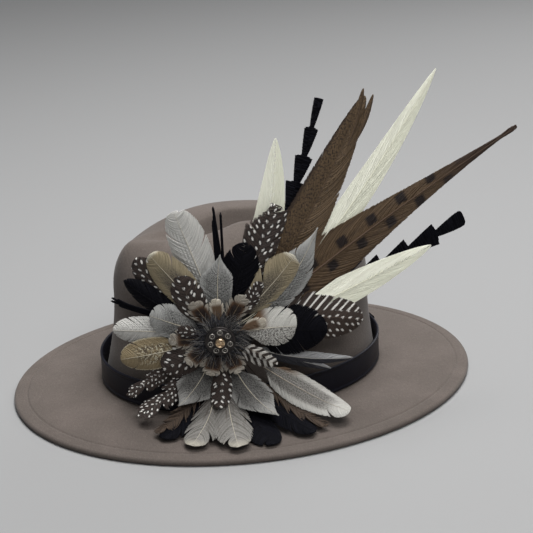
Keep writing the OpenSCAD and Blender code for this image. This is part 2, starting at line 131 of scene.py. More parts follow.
head = oval(HALF_LEN, HALF_WID)
brim = oval(np.where(ahead > 0, BRIM_FRONT, BRIM_BACK), BRIM_SIDE)
lean = LEAN + LEAN_MORE_AHEAD * ahead ** 2
ridge = oval(np.where(ahead > 0, RIDGE_FRONT, RIDGE_BACK), RIDGE_HALF)
brim_wide = brim - head


def ridge_height(u):
    return CROWN_TOP - RIDGE_DROP * np.cos(2 * turn_round) * u ** 2 - FRONT_DIP * ahead ** 3 * u ** 2


def crease_ring(u):
    return ring(ridge * u, ridge_height(u) - CREASE * (1 - u * u) ** 1.5)


def roll_ring(a):
    wall = head - lean
    return ring(ridge + (wall - ridge) * math.cos(a) ** ROLL_POWER,
                SHOULDER + (ridge_height(1) - SHOULDER) * math.sin(a) ** ROLL_POWER)


def wall_ring(f):
    return ring(head - lean * math.sin(math.pi / 2 * f),
                CROWN_BASE + FILLET + (SHOULDER - CROWN_BASE - FILLET) * f)


def foot_ring(a):
    return ring(head + FILLET * (1 - math.cos(a)), CROWN_BASE + FILLET * (1 - math.sin(a)))


def brim_ring(from_edge, sink=0.0):
    reach = brim_wide - from_edge
    return ring(brim - from_edge, CROWN_BASE + (EDGE_H - CROWN_BASE) * reach / brim_wide - sink)


def groove_ring(x):
    return brim_ring(WELT + GROOVE_HALF * x, GROOVE * math.cos(math.pi / 2 * x) ** 2)


def lip_ring(a):
    return ring(brim - LIP * (1 - math.cos(a)), LIP * (1 + math.sin(a)))


half_turn = math.pi / 2
crown_rings = [crease_ring(u / CREASE_ROWS) for u in range(1, CREASE_ROWS)]
crown_rings += [roll_ring(half_turn * i / ROLL_ROWS) for i in range(ROLL_ROWS, 0, -1)]
crown_rings += [wall_ring(i / WALL_ROWS) for i in range(WALL_ROWS, -1, -1)]
brim_rings = [foot_ring(half_turn * i / FOOT_ROWS) for i in range(1, FOOT_ROWS + 1)]
brim_rings += [ring(brim - WELT - (brim_wide - WELT) * (1 - f / BRIM_ROWS),
                    CROWN_BASE + (EDGE_H - CROWN_BASE) * (brim_wide - WELT) * f / BRIM_ROWS / brim_wide)
               for f in range(1, BRIM_ROWS - 1)]
brim_rings += [groove_ring(x) for x in np.linspace(1, -1, 13)]
brim_rings += [brim_ring(d) for d in (6.5, 5.0, 3.6)]
brim_rings += [lip_ring(half_turn * (1 - i / 9)) for i in range(19)]
under_rings = [ring(brim - d, h) for d, h in (
    (5, 0), (WELT - 0.5, 0), (WELT, 0.4), (WELT, WELT_FELT - 0.2), (WELT - 0.3, WELT_FELT),
    (5, WELT_FELT), (2.7, WELT_FELT), (2.0, 1.7), (1.9, 2.05), (2.0, 2.4), (2.7, CHANNEL_TOP),
    (5, CHANNEL_TOP), (WELT, CHANNEL_TOP))]
under_rings += [ring(brim - WELT - (brim_wide - WELT - FILLET) * f / UNDER_ROWS,
                     CHANNEL_TOP + (CROWN_BASE - FELT - CHANNEL_TOP) * f / UNDER_ROWS)
                for f in range(1, UNDER_ROWS + 1)]
crown_grid = np.array(crown_rings)
down = np.gradient(crown_grid, axis=0)
sideways = np.roll(crown_grid, -1, 1) - np.roll(crown_grid, 1, 1)
facing_out = np.cross(down, sideways)
facing_out /= np.linalg.norm(facing_out, axis=2, keepdims=True)
inner_rings = list((crown_grid - FELT * facing_out)[::-1])


def shell(name, rings, poles=True, closed=False):
    """Skins rings as one solid: poles fills its two ends, closed joins its last ring to its first."""
    grid = np.array(rings)
    rows, columns = grid.shape[:2]
    points = grid.reshape(-1, 3)
    faces = []
    for row in range(rows if closed else rows - 1):
        here, below = row * columns, (row + 1) % rows * columns
        faces += [(here + c, below + c, below + (c + 1) % columns, here + (c + 1) % columns)
                  for c in range(columns)]
    if poles:
        points = np.vstack([points, grid[0].mean(0), grid[-1].mean(0)])
        last = (rows - 1) * columns
        faces += [(rows * columns, c, (c + 1) % columns) for c in range(columns)]
        faces += [(rows * columns + 1, last + (c + 1) % columns, last + c) for c in range(columns)]
    mesh = bpy.data.meshes.new(name)
    mesh.from_pydata((points * MM).tolist(), [], faces)
    mesh.polygons.foreach_set("use_smooth", [True] * len(faces))
    piece = bpy.data.objects.new(name, mesh)
    bpy.context.scene.collection.objects.link(piece)
    return piece


def wire(tree, kind, inputs=(), output=0, **settings):
    """Adds a node, sets or links its inputs by name or number, and returns one output."""
    node = tree.nodes.new(kind)
    for key, value in settings.items():
        setattr(node, key, value)
    for key, value in inputs.items() if isinstance(inputs, dict) else enumerate(inputs):
        if isinstance(value, bpy.types.NodeSocket):
            tree.links.new(value, node.inputs[key])
        elif value is not None:
            node.inputs[key].default_value = value
    return node.outputs[output]


class Finish:
    """A material built up in coats: each coat covers the last one where its mask is 1."""

    def __init__(self, name, colour, roughness, **numbers):
        self.material = bpy.data.materials.new(name)
        self.material.use_nodes = True
        self.tree = self.material.node_tree
        self.shader = self.tree.nodes["Principled BSDF"]
        self.shader.inputs["Base Color"].default_value = (*colour, 1)
        self.shader.inputs["Roughness"].default_value = roughness
        for socket, value in numbers.items():
            self.shader.inputs[socket.replace("_", " ")].default_value = value
        self.colour = (*colour, 1)
        self.place = wire(self.tree, "ShaderNodeTexCoord", output="Object")
        self.normal = None

    def math(self, operation, *values):
        return wire(self.tree, "ShaderNodeMath", values, operation=operation)

    def step(self, value, low, high):
        return wire(self.tree, "ShaderNodeMapRange", {"Value": value, "From Min": low, "From Max": high},
                    interpolation_type="SMOOTHSTEP")

    def noise(self, scale, detail=2.0, stretch=(1, 1, 1), place=None):
        spread = wire(self.tree, "ShaderNodeMapping", {"Vector": place or self.place, "Scale": stretch})
        return wire(self.tree, "ShaderNodeTexNoise", {"Vector": spread, "Scale": scale, "Detail": detail})

    def coat(self, mask, colour):
        self.colour = wire(self.tree, "ShaderNodeMix", {0: mask, 6: self.colour, 7: (*colour, 1)},
                           output=2, data_type="RGBA")
        self.tree.links.new(self.colour, self.shader.inputs["Base Color"])

    def relief(self, height, strength, depth):
        self.normal = wire(self.tree, "ShaderNodeBump", {
            "Strength": strength, "Distance": depth, "Height": height, "Normal": self.normal})
        self.tree.links.new(self.normal, self.shader.inputs["Normal"])

    def gloss(self, mask, low, high):
        rough = wire(self.tree, "ShaderNodeMapRange", {"Value": mask, "To Min": low, "To Max": high})
        self.tree.links.new(rough, self.shader.inputs["Roughness"])


wool_felt = Finish("wool_felt", (0.088, 0.073, 0.064), 0.95, Sheen_Weight=0.08, Sheen_Roughness=0.45,
                   Specular_IOR_Level=0.2)
cloudy = wool_felt.noise(34, 3)
wool_felt.coat(wool_felt.step(cloudy, 0.35, 0.75), (0.106, 0.087, 0.077))
nap = wool_felt.noise(1500, 3, (1.0, 0.3, 0.6))
wool_felt.coat(wool_felt.math("MULTIPLY", wool_felt.step(nap, 0.5, 0.75), 0.35), (0.150, 0.128, 0.113))
wool_felt.coat(wool_felt.math("MULTIPLY", wool_felt.step(nap, 0.48, 0.28), 0.35), (0.055, 0.045, 0.040))
wool_felt.relief(nap, 0.35, 0.0004)
wool_felt.relief(wool_felt.noise(420, 2), 0.2, 0.0006)

felt = shell("blocked_felt", crown_rings + brim_rings + under_rings + inner_rings)
felt.data.materials.append(wool_felt.material)
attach(felt, "hat")
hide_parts("felt_body")

# ------------------------------------------------------------------ brim wire
# A ring of drawn steel wire lies in the fold of the brim and keeps it level. The felt is
# pressed round it, so no stitch holds it.
spring_wire = Finish("spring_wire", (0.30, 0.31, 0.33), 0.35, Metallic=1.0)
drawn = spring_wire.noise(900, 2, (1, 1, 6))
spring_wire.coat(spring_wire.step(drawn, 0.5, 0.8), (0.16, 0.15, 0.15))
spring_wire.relief(drawn, 0.1, 0.0002)
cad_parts["brim_wire"].data.materials.clear()
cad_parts["brim_wire"].data.materials.append(spring_wire.material)

# ------------------------------------------------------------------ sweatband
# A strip of thin brown leather is sewn inside the head opening, its top edge left loose.
# The seam shows as a row of stitches just above its rolled lower edge.
SWEAT_LOW, SWEAT_H, SWEAT_T, SWEAT_GAP = 9.0, 32.0, 1.0, 0.35
SWEAT_ROWS, SEAM_UP = 16, 2.5


def inside_wall(height, depth):
    f = np.maximum(0, (height - CROWN_BASE - FILLET) / (SHOULDER - CROWN_BASE - FILLET))
    return ring(head - lean * np.sin(half_turn * f) - FELT - depth, height)


sweat_section = [(SWEAT_GAP, SWEAT_H * i / SWEAT_ROWS) for i in range(SWEAT_ROWS + 1)]
sweat_section += [(SWEAT_GAP + SWEAT_T / 2, SWEAT_H + 0.1)]
sweat_section += [(SWEAT_GAP + SWEAT_T, SWEAT_H * i / SWEAT_ROWS) for i in range(SWEAT_ROWS, -1, -1)]
sweat_section += [(SWEAT_GAP + SWEAT_T / 2, -0.2)]
sweatband = shell("sweatband_leather",
                  [inside_wall(SWEAT_LOW + h, d) for d, h in reversed(sweat_section)], False, True)
sweat_leather = Finish("sweat_leather", (0.085, 0.048, 0.028), 0.5, Specular_IOR_Level=0.4)
sweat_leather.coat(sweat_leather.step(sweat_leather.noise(70, 4), 0.4, 0.75), (0.13, 0.075, 0.042))
grain = wire(sweat_leather.tree, "ShaderNodeTexVoronoi",
             {"Vector": sweat_leather.place, "Scale": 1100.0}, feature="SMOOTH_F1")
sweat_leather.relief(grain, 0.35, 0.0003)
sweatband.data.materials.append(sweat_leather.material)


def new_tree(name, inputs):
    """Starts a Geometry Nodes tree with its geometry sockets and the named inputs given."""
    tree = bpy.data.node_groups.new(name, "GeometryNodeTree")
    tree.is_modifier = True
    tree.interface.new_socket("Geometry", in_out="INPUT", socket_type="NodeSocketGeometry")
    tree.interface.new_socket("Geometry", in_out="OUTPUT", socket_type="NodeSocketGeometry")
    for label, value in inputs.items():
        kind = "Material" if value is None else "Int" if isinstance(value, int) else "Float"
        socket = tree.interface.new_socket(label, in_out="INPUT", socket_type="NodeSocket" + kind)
        if value is not None:
            socket.default_value = value
    return tree, tree.nodes.new("NodeGroupInput").outputs


def end_tree(tree, geometry, paint):
    real = wire(tree, "GeometryNodeRealizeInstances", {"Geometry": geometry})
    painted = wire(tree, "GeometryNodeSetMaterial", {"Geometry": real, "Material": paint})
    tree.links.new(painted, tree.nodes.new("NodeGroupOutput").inputs["Geometry"])


def apply_tree(name, mesh, tree, **values):
    """Runs a tree on a mesh and returns its result as an object with a plain mesh."""
    carrier = bpy.data.objects.new(name, mesh)
    bpy.context.scene.collection.objects.link(carrier)
    modifier = carrier.modifiers.new("tree", "NODES")
    modifier.node_group = tree
    for item in tree.interface.items_tree:
        key = item.name.replace(" ", "_")
        if item.in_out == "INPUT" and key in values:
            modifier[item.identifier] = values[key]
    ready = carrier.evaluated_get(bpy.context.evaluated_depsgraph_get())
    plain = bpy.data.meshes.new_from_object(ready)
    carrier.modifiers.clear()
    carrier.data = plain
    return carrier


def loop_mesh(name, points):
    """A mesh with no faces: one closed line through the points."""
    count = len(points)
    mesh = bpy.data.meshes.new(name)
    edges = [(i, (i + 1) % count) for i in range(count)]
    mesh.from_pydata((np.asarray(points) * MM).tolist(), edges, [])
    return mesh


stitch_tree, given = new_tree("stitches_along_a_line", {
    "Stitches": 100, "Length": 0.003, "Radius": 0.0003, "Thread": None})
line = wire(stitch_tree, "GeometryNodeMeshToCurve", {"Mesh": given["Geometry"]})
spots = stitch_tree.nodes.new("GeometryNodeCurveToPoints")
stitch_tree.links.new(line, spots.inputs["Curve"])
stitch_tree.links.new(given["Stitches"], spots.inputs["Count"])
thread = wire(stitch_tree, "GeometryNodeMeshCylinder",
              {"Vertices": 8, "Radius": given["Radius"], "Depth": given["Length"]})
thread = wire(stitch_tree, "GeometryNodeSetShadeSmooth", {"Geometry": thread})
row = wire(stitch_tree, "GeometryNodeInstanceOnPoints",
           {"Points": spots.outputs["Points"], "Instance": thread, "Rotation": spots.outputs["Rotation"]})
end_tree(stitch_tree, row, given["Thread"])
cotton_thread = Finish("cotton_thread", (0.30, 0.22, 0.15), 0.8, Sheen_Weight=0.2)
twist = wire(cotton_thread.tree, "ShaderNodeTexWave", {"Vector": cotton_thread.place, "Scale": 900.0})
cotton_thread.coat(cotton_thread.math("MULTIPLY", twist, 0.5), (0.16, 0.11, 0.07))
seam_line = loop_mesh("seam_line", inside_wall(SWEAT_LOW + SEAM_UP, SWEAT_GAP + SWEAT_T))
seam = apply_tree("sweatband_seam", seam_line, stitch_tree, Stitches=170, Length=0.0024, Radius=0.0003,
                  Thread=cotton_thread.material)
for piece in (sweatband, seam):
    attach(piece, "hat")
    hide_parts("sweatband")

# ------------------------------------------------------------------ sweatband bow
# A small flat bow of ribbed ribbon covers the join at the back of the sweatband. Each of its
# loops goes out from the knot, turns and comes back.
bow_low, bow_high = (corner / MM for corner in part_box("sweatband_bow"))
bow_x, bow_z = bow_low.x, (bow_low.z + bow_high.z) / 2
BOW_HALF, BOW_OFF, RIBBON_HALF, LOOP_STEPS = 9.4, 0.75, 0.12, 20


def bow_loop(side):
    """One loop of the bow: a ribbon that leaves the knot, turns at its end and comes back."""
    rings = []
    for i in range(LOOP_STEPS + 1):
        a = math.pi * i / LOOP_STEPS
        (x_out, y_out), (x_in, y_in) = (
            (bow_x + BOW_OFF + (0.42 + skin) * math.cos(a),
             side * (0.4 + (BOW_HALF - 1.0 + skin) * math.sin(a)))
            for skin in (RIBBON_HALF, -RIBBON_HALF))
        half = 1.6 + 2.2 * math.sin(a)
        rings.append([(x_out, y_out, bow_z - half), (x_out, y_out, bow_z + half),
                      (x_in, y_in, bow_z + half), (x_in, y_in, bow_z - half)][::side])
    return rings


ribbon = Finish("sweat_ribbon", (0.045, 0.030, 0.022), 0.6, Sheen_Weight=0.3)
ribs = wire(ribbon.tree, "ShaderNodeTexWave", {"Vector": ribbon.place, "Scale": 500.0},
            bands_direction="Y", output="Fac")
ribbon.coat(ribbon.math("MULTIPLY", ribs, 0.6), (0.075, 0.052, 0.04))
ribbon.relief(ribs, 0.4, 0.0002)
knot_rings = [[(bow_x + BOW_OFF + 0.62 * math.cos(a), y, bow_z + 2.2 * math.sin(a))
               for a in np.arange(12) * math.pi / 6] for y in (-1.2, -1.0, 0, 1.0, 1.2)]
for name, rings in (("bow_loop_left", bow_loop(-1)), ("bow_loop_right", bow_loop(1)),
                    ("bow_knot", knot_rings)):
    piece = shell(name, rings)
    piece.data.materials.append(ribbon.material)
    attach(piece, "hat")
    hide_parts("sweatband_bow")

# ------------------------------------------------------------------ strap and keeper
# A strap of smooth black leather goes round the crown. Its edges are folded in and pressed,
# so each has a raised rim. A leather loop at the back holds the overlap.
strap_low, strap_high = (corner.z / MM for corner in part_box("strap_band"))
STRAP_T = 1.9
strap_face = [(0.0, 0.6), (0.35, 0.12), (0.95, 0.0), (1.55, 0.12), (STRAP_T, 0.6), (STRAP_T, 1.3),
              (1.75, 1.9), (1.45, 2.3), (1.4, 2.8), (1.55, 4.2), (1.62, 7.0)]
strap_tall = strap_high - strap_low
strap_section = strap_face + [(1.64, strap_tall / 2)]
strap_section += [(out, strap_tall - up) for out, up in reversed(strap_face)]
strap_rings = [ring(oval(strap_out.x - STRAP_T + out, strap_out.y - STRAP_T + out), strap_low + up)
               for out, up in reversed(strap_section)]
strap = shell("strap_leather_band", strap_rings, False, True)
strap_leather = Finish("strap_leather", (0.0025, 0.0025, 0.007), 0.42, Specular_IOR_Level=0.2)
fine_grain = wire(strap_leather.tree, "ShaderNodeTexVoronoi",
                  {"Vector": strap_leather.place, "Scale": 1400.0}, feature="SMOOTH_F1")
strap_leather.coat(strap_leather.step(strap_leather.noise(120, 4), 0.5, 0.8), (0.005, 0.005, 0.011))
strap_leather.gloss(strap_leather.noise(60, 3), 0.34, 0.55)
strap_leather.relief(fine_grain, 0.2, 0.0002)
strap.data.materials.append(strap_leather.material)
keeper_low, keeper_high = (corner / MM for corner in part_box("band_keeper"))
KEEPER_ROWS, KEEPER_LIFT, KEEPER_INSIDE = 24, 0.05, 4
keeper_face = ((-6, 0.1), (-5.6, 0.7), (-4.8, 1), (-4.2, 0.8), (0, 0.85), (4.2, 0.8), (4.8, 1), (5.6, 0.7),
               (6, 0.1))
keeper_deep = keeper_high.x - keeper_low.x
keeper_rings = []
for i in range(KEEPER_ROWS + 1):
    z = keeper_low.z + (keeper_high.z - keeper_low.z) * i / KEEPER_ROWS
    swell = math.sin(math.pi * i / KEEPER_ROWS) ** 0.25
    outside = [(keeper_low.x + KEEPER_LIFT + keeper_deep * swell * (0.2 + 0.8 * bulge),
                y * (0.96 + 0.04 * swell), z) for y, bulge in keeper_face]
    keeper_rings.append(outside + [(keeper_low.x, KEEPER_INSIDE, z), (keeper_low.x, -KEEPER_INSIDE, z)])
keeper = shell("keeper_loop", keeper_rings[::-1])
keeper.data.materials.append(strap_leather.material)
for piece, node in ((strap, "strap_band"), (keeper, "band_keeper")):
    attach(piece, "hat")
    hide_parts(node)

# ------------------------------------------------------------------ backing disc and quill pad
# A disc of stiff dark felt lies behind the feathers, and their quills are sewn and glued into
# a thick round pad on it. Short black and brown fluff is tied round the pad's rim.
MOUNT_TURN = math.radians(20)
OUTWARD = np.array([-math.sin(MOUNT_TURN), -math.cos(MOUNT_TURN)])
MOUNT_XY = np.array([HALF_LEN ** 2, HALF_WID ** 2]) * OUTWARD / np.hypot(*(OUTWARD * (HALF_LEN, HALF_WID)))
MOUNT_Z = 71.5
DISC_BACK, DISC_T, DISC_R = -4.9, 1.5, 23.0
PAD_R, PAD_TOP = 13.0, 15.0
mount_place = Matrix(((-OUTWARD[1], 0, OUTWARD[0], MOUNT_XY[0] * MM),
                      (OUTWARD[0], 0, OUTWARD[1], MOUNT_XY[1] * MM),
                      (0, 1, 0, MOUNT_Z * MM), (0, 0, 0, 1)))


def turned(name, profile, sides=72):
    """Turns a profile of radius and height round the mount's axis, from its back to its front."""
    angle = np.arange(sides) * 2 * math.pi / sides
    rings = [np.stack([r * np.cos(angle), r * np.sin(angle), np.full(sides, h)], -1) for r, h in profile]
    piece = shell(name, rings[::-1])
    piece.data.transform(mount_place)
    return piece


def mount_piece(piece, finish, node):
    piece.data.materials.clear()
    piece.data.materials.append(finish.material)
    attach(piece, "feather_mount")
    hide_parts(node)


pad_felt = Finish("pad_felt", (0.018, 0.016, 0.017), 0.95, Sheen_Weight=0.15)
pad_nap = pad_felt.noise(900, 3)
pad_felt.coat(pad_felt.step(pad_nap, 0.5, 0.8), (0.045, 0.04, 0.04))
pad_felt.relief(pad_nap, 0.6, 0.0006)
disc_top = DISC_BACK + DISC_T
disc = turned("felt_disc", [(4, DISC_BACK), (DISC_R - 0.4, DISC_BACK), (DISC_R, DISC_BACK + 0.4),
                            (DISC_R, disc_top - 0.4), (DISC_R - 0.4, disc_top), (4, disc_top)])
mount_piece(disc, pad_felt, "backing_disc")
pad = turned("quill_pad", [(5, disc_top), (PAD_R - 1, disc_top), (PAD_R - 0.2, disc_top + 1),
                           (PAD_R, disc_top + 6), (PAD_R - 0.3, PAD_TOP - 2.5),
                           (PAD_R - 1.6, PAD_TOP - 0.8), (PAD_R - 3.5, PAD_TOP - 0.1), (5, PAD_TOP)])
mount_piece(pad, pad_felt, "stem_pad")


def calc(tree, operation, *values):
    return wire(tree, "ShaderNodeMath", values, operation=operation)


def chance_of(tree, number, seed):
    return wire(tree, "FunctionNodeRandomValue", {"ID": number, "Seed": seed}, output=1)


def vector(tree, *parts):
    return wire(tree, "ShaderNodeCombineXYZ", parts)


def threads(tree, count, points):
    """Makes a number of straight threads, and says which thread and how far along each point is."""
    line = wire(tree, "GeometryNodeResampleCurve",
                {"Curve": wire(tree, "GeometryNodeCurvePrimitiveLine"), "Count": points})
    spread = wire(tree, "GeometryNodeInstanceOnPoints",
                  {"Points": wire(tree, "GeometryNodeMeshLine", {"Count": count}), "Instance": line})
    index = wire(tree, "GeometryNodeInputIndex")
    number = calc(tree, "FLOOR", calc(tree, "DIVIDE", calc(tree, "ADD", index, 0.5), points))
    along = calc(tree, "DIVIDE", calc(tree, "SUBTRACT", index, calc(tree, "MULTIPLY", number, points)),
                 points - 1)
    return wire(tree, "GeometryNodeRealizeInstances", {"Geometry": spread}), number, along


def put(tree, geometry, position, offset=None):
    return wire(tree, "GeometryNodeSetPosition",
                {"Geometry": geometry, "Position": position, "Offset": offset})


def note(tree, geometry, name, value):
    return wire(tree, "GeometryNodeStoreNamedAttribute",
                {"Geometry": geometry, "Name": name, "Value": value}, data_type="FLOAT_VECTOR")


FLUFF_POINTS, SWING, SHORTEST, LENGTH_SPREAD, TIP_THIN = 6, 0.8, 0.4, 0.7, 0.8
fluff_tree, given = new_tree("fluff_round_a_ring", {
    "Threads": 300, "Ring": 0.011, "Length": 0.012, "Low": 0.003, "High": 0.014, "Rise": 0.004,
    "Radius": 0.0002, "Seed": 5, "Fluff": None})
tufts, number, along = threads(fluff_tree, given["Threads"], FLUFF_POINTS)
luck = [chance_of(fluff_tree, number, calc(fluff_tree, "ADD", given["Seed"], i)) for i in range(4)]
bearing = calc(fluff_tree, "MULTIPLY", luck[0], math.tau)
swing = calc(fluff_tree, "MULTIPLY_ADD", luck[1], SWING, -SWING / 2)
bearing = calc(fluff_tree, "ADD", bearing, calc(fluff_tree, "MULTIPLY", along, swing))
share = calc(fluff_tree, "MULTIPLY_ADD", luck[2], LENGTH_SPREAD, SHORTEST)
stretch = calc(fluff_tree, "MULTIPLY", given["Length"], share)
distance = calc(fluff_tree, "MULTIPLY_ADD", stretch, along, given["Ring"])
span = calc(fluff_tree, "SUBTRACT", given["High"], given["Low"])
height = calc(fluff_tree, "MULTIPLY_ADD", luck[3], span, given["Low"])
curl = calc(fluff_tree, "MULTIPLY", given["Rise"], calc(fluff_tree, "MULTIPLY", along, along))
height = calc(fluff_tree, "ADD", height, curl)
right = calc(fluff_tree, "MULTIPLY", distance, calc(fluff_tree, "COSINE", bearing))
up = calc(fluff_tree, "MULTIPLY", distance, calc(fluff_tree, "SINE", bearing))
tufts = put(fluff_tree, tufts, vector(fluff_tree, right, up, height))
tufts = note(fluff_tree, tufts, "barb", vector(fluff_tree, luck[1], along, 0.0))
hair = wire(fluff_tree, "GeometryNodeCurvePrimitiveCircle", {"Resolution": 3, "Radius": given["Radius"]})
tufts = wire(fluff_tree, "GeometryNodeCurveToMesh", {
    "Curve": tufts, "Profile Curve": hair, "Fill Caps": True,
    "Scale": calc(fluff_tree, "MULTIPLY_ADD", along, -TIP_THIN, 1.0)})
end_tree(fluff_tree, tufts, given["Fluff"])


def one_point(name):
    """A mesh of one point, to carry a tree that needs no other shape."""
    mesh = bpy.data.meshes.new(name)
    mesh.from_pydata([(0, 0, 0)], [], [])
    return mesh


def barb_chance(finish):
    """A number from 0 to 1 that is the same all along one thread."""
    barb = wire(finish.tree, "ShaderNodeAttribute", output="Vector", attribute_name="barb")
    return wire(finish.tree, "ShaderNodeSeparateXYZ", [barb])


black_fluff = Finish("black_fluff", (0.006, 0.006, 0.009), 0.7, Sheen_Weight=0.1)
black_fluff.coat(black_fluff.step(barb_chance(black_fluff), 0.6, 0.9), (0.03, 0.032, 0.045))
fluff = apply_tree("pad_fluff", one_point("fluff_seat"), fluff_tree, Threads=900, Ring=0.009,
                   Length=0.012, Low=0.006, High=0.0155, Rise=0.003, Radius=0.00022, Seed=5,
                   Fluff=black_fluff.material)
fluff.data.transform(mount_place)
mount_piece(fluff, black_fluff, "stem_pad")

pale_fluff = Finish("pale_fluff", (0.22, 0.21, 0.195), 0.8, Sheen_Weight=0.1)
pale_fluff.coat(pale_fluff.step(barb_chance(pale_fluff), 0.4, 0.9), (0.09, 0.08, 0.075))
pale = apply_tree("pad_pale_fluff", one_point("pale_fluff_seat"), fluff_tree, Threads=120, Ring=0.010,
                  Length=0.013, Low=0.0125, High=0.0158, Rise=0.004, Radius=0.0002, Seed=17,
                  Fluff=pale_fluff.material)
pale.data.transform(mount_place)
mount_piece(pale, pale_fluff, "stem_pad")

# ------------------------------------------------------------------ tack pins and clutches
# Two brass pins with flat heads go through the disc and the felt. A sprung brass clutch is
# pushed on to each of them inside the crown.
brass = Finish("pin_brass", (0.52, 0.40, 0.20), 0.3, Metallic=1.0)
tarnish = brass.noise(260, 4)
brass.coat(brass.step(tarnish, 0.5, 0.75), (0.25, 0.19, 0.10))
brass.gloss(tarnish, 0.22, 0.5)
brass.relief(brass.noise(1800, 2), 0.1, 0.0001)
for node in ("tack_pins", "front_clutch", "rear_clutch"):
    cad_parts[node].data.materials.clear()
    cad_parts[node].data.materials.append(brass.material)

# ------------------------------------------------------------------ button
# A cast button of darkened metal covers the quills: a low dome with a raised rim, seven rings
# with a small ball in each, and a bronze bead sunk in a bright collar in the middle.
BUTTON_R, STUD_RING, STUD_R, STUD_UP = 10.5, 6.7, 1.6, 3.3
STUD_WIRE, STUD_BALL = 0.48, 0.5
dark_metal = Finish("button_metal", (0.045, 0.040, 0.038), 0.42, Metallic=0.85)
age = dark_metal.noise(420, 4)
dark_metal.coat(dark_metal.step(age, 0.45, 0.75), (0.02, 0.018, 0.02))
dark_metal.gloss(age, 0.3, 0.62)
dark_metal.relief(age, 0.35, 0.0005)
dome = turned("cast_button", [(radius, PAD_TOP + up) for radius, up in (
    (6, 0), (9.7, 0), (BUTTON_R - 0.1, 0.25), (BUTTON_R, 0.9), (BUTTON_R - 0.1, 1.7),
    (BUTTON_R - 0.5, 2.2), (9.5, 2.3), (9.1, 2.0), (8.9, 2.3), (8.7, 2.75), (8.3, 2.9), (7.9, 2.8),
    (7.0, 3.0), (5.4, 3.45), (4.8, 3.9), (4.3, 4.0), (3.9, 3.8), (2.5, 3.9), (1, 4))], 96)
mount_piece(dome, dark_metal, "button_dome")

stud_tree, given = new_tree("studs_round_a_ring", {
    "Studs": 7, "Ring": 0.007, "Stud": 0.00125, "Wire": 0.0004, "Ball": 0.0007, "Metal": None})
places = wire(stud_tree, "GeometryNodeMeshCircle", {"Vertices": given["Studs"], "Radius": given["Ring"]})
loop = wire(stud_tree, "GeometryNodeCurvePrimitiveCircle", {"Resolution": 20, "Radius": given["Stud"]})
round_wire = wire(stud_tree, "GeometryNodeCurvePrimitiveCircle", {"Resolution": 8, "Radius": given["Wire"]})
loop = wire(stud_tree, "GeometryNodeCurveToMesh", {"Curve": loop, "Profile Curve": round_wire})
ball = wire(stud_tree, "GeometryNodeMeshUVSphere", {"Segments": 10, "Rings": 6, "Radius": given["Ball"]})
stud = stud_tree.nodes.new("GeometryNodeJoinGeometry")
stud_tree.links.new(loop, stud.inputs[0])
stud_tree.links.new(ball, stud.inputs[0])
studs = wire(stud_tree, "GeometryNodeInstanceOnPoints", {"Points": places, "Instance": stud.outputs[0]})
studs = wire(stud_tree, "GeometryNodeSetShadeSmooth", {"Geometry": studs})
end_tree(stud_tree, studs, given["Metal"])
stud_metal = Finish("stud_metal", (0.34, 0.32, 0.29), 0.3, Metallic=1.0)
stud_metal.coat(stud_metal.step(stud_metal.noise(500, 3), 0.55, 0.7), (0.10, 0.09, 0.085))
stud_metal.relief(stud_metal.noise(1500, 2), 0.2, 0.0002)
studs = apply_tree("button_rings", one_point("stud_seat"), stud_tree, Studs=7, Ring=STUD_RING * MM,
                   Stud=STUD_R * MM, Wire=STUD_WIRE * MM, Ball=STUD_BALL * MM,
                   Metal=stud_metal.material)
studs.data.transform(mount_place @ Matrix.Translation((0, 0, (PAD_TOP + STUD_UP) * MM))
                     @ Matrix.Rotation(math.pi / 2, 4, "Z"))
mount_piece(studs, stud_metal, "button_studs")

bronze = Finish("bead_bronze", (0.66, 0.50, 0.33), 0.25, Metallic=1.0)
wear = bronze.noise(600, 3)
bronze.coat(bronze.step(wear, 0.50, 0.70), (0.16, 0.10, 0.065))
bronze.gloss(wear, 0.2, 0.45)
bronze.relief(wear, 0.15, 0.0002)
bead = turned("bronze_bead", [(radius, PAD_TOP + up) for radius, up in (
    (1.5, 3.9), (2.9, 3.9), (3.3, 4.25), (3.3, 4.6), (3.25, 5.6), (3.0, 6.2), (2.6, 6.45), (2.2, 6.2),
    (1.95, 5.5), (1.7, 5.3), (1.4, 5.7), (0.9, 6.0), (0.4, 6.1))], 48)
mount_piece(bead, bronze, "button_bead")

# ------------------------------------------------------------------ long cream quills
# Goose quills dyed a pale yellow-green cream, trimmed to long points. Every feather of the
# mount is made like them: barbs grow from both sides of a quill and lie side by side, and the
# whole feather lies in one layer of a sheet that bends round the crown and out over the brim.
FRONT_R, BACK_R, BACK_RUN = 98.0, 125.0, 50.0
SHEET_LEAN = math.radians(5)
DROP_RUN, DROP_R, DROP_TURN = 26.0, 42.0, math.radians(68)
LAYER_GAP, FIRST_LAYER, QUILL_HALF = 1.1, 0.5, 0.7
SHEET_ROWS, SHEET_COLUMNS, BARB_POINTS = 200, 13, 7


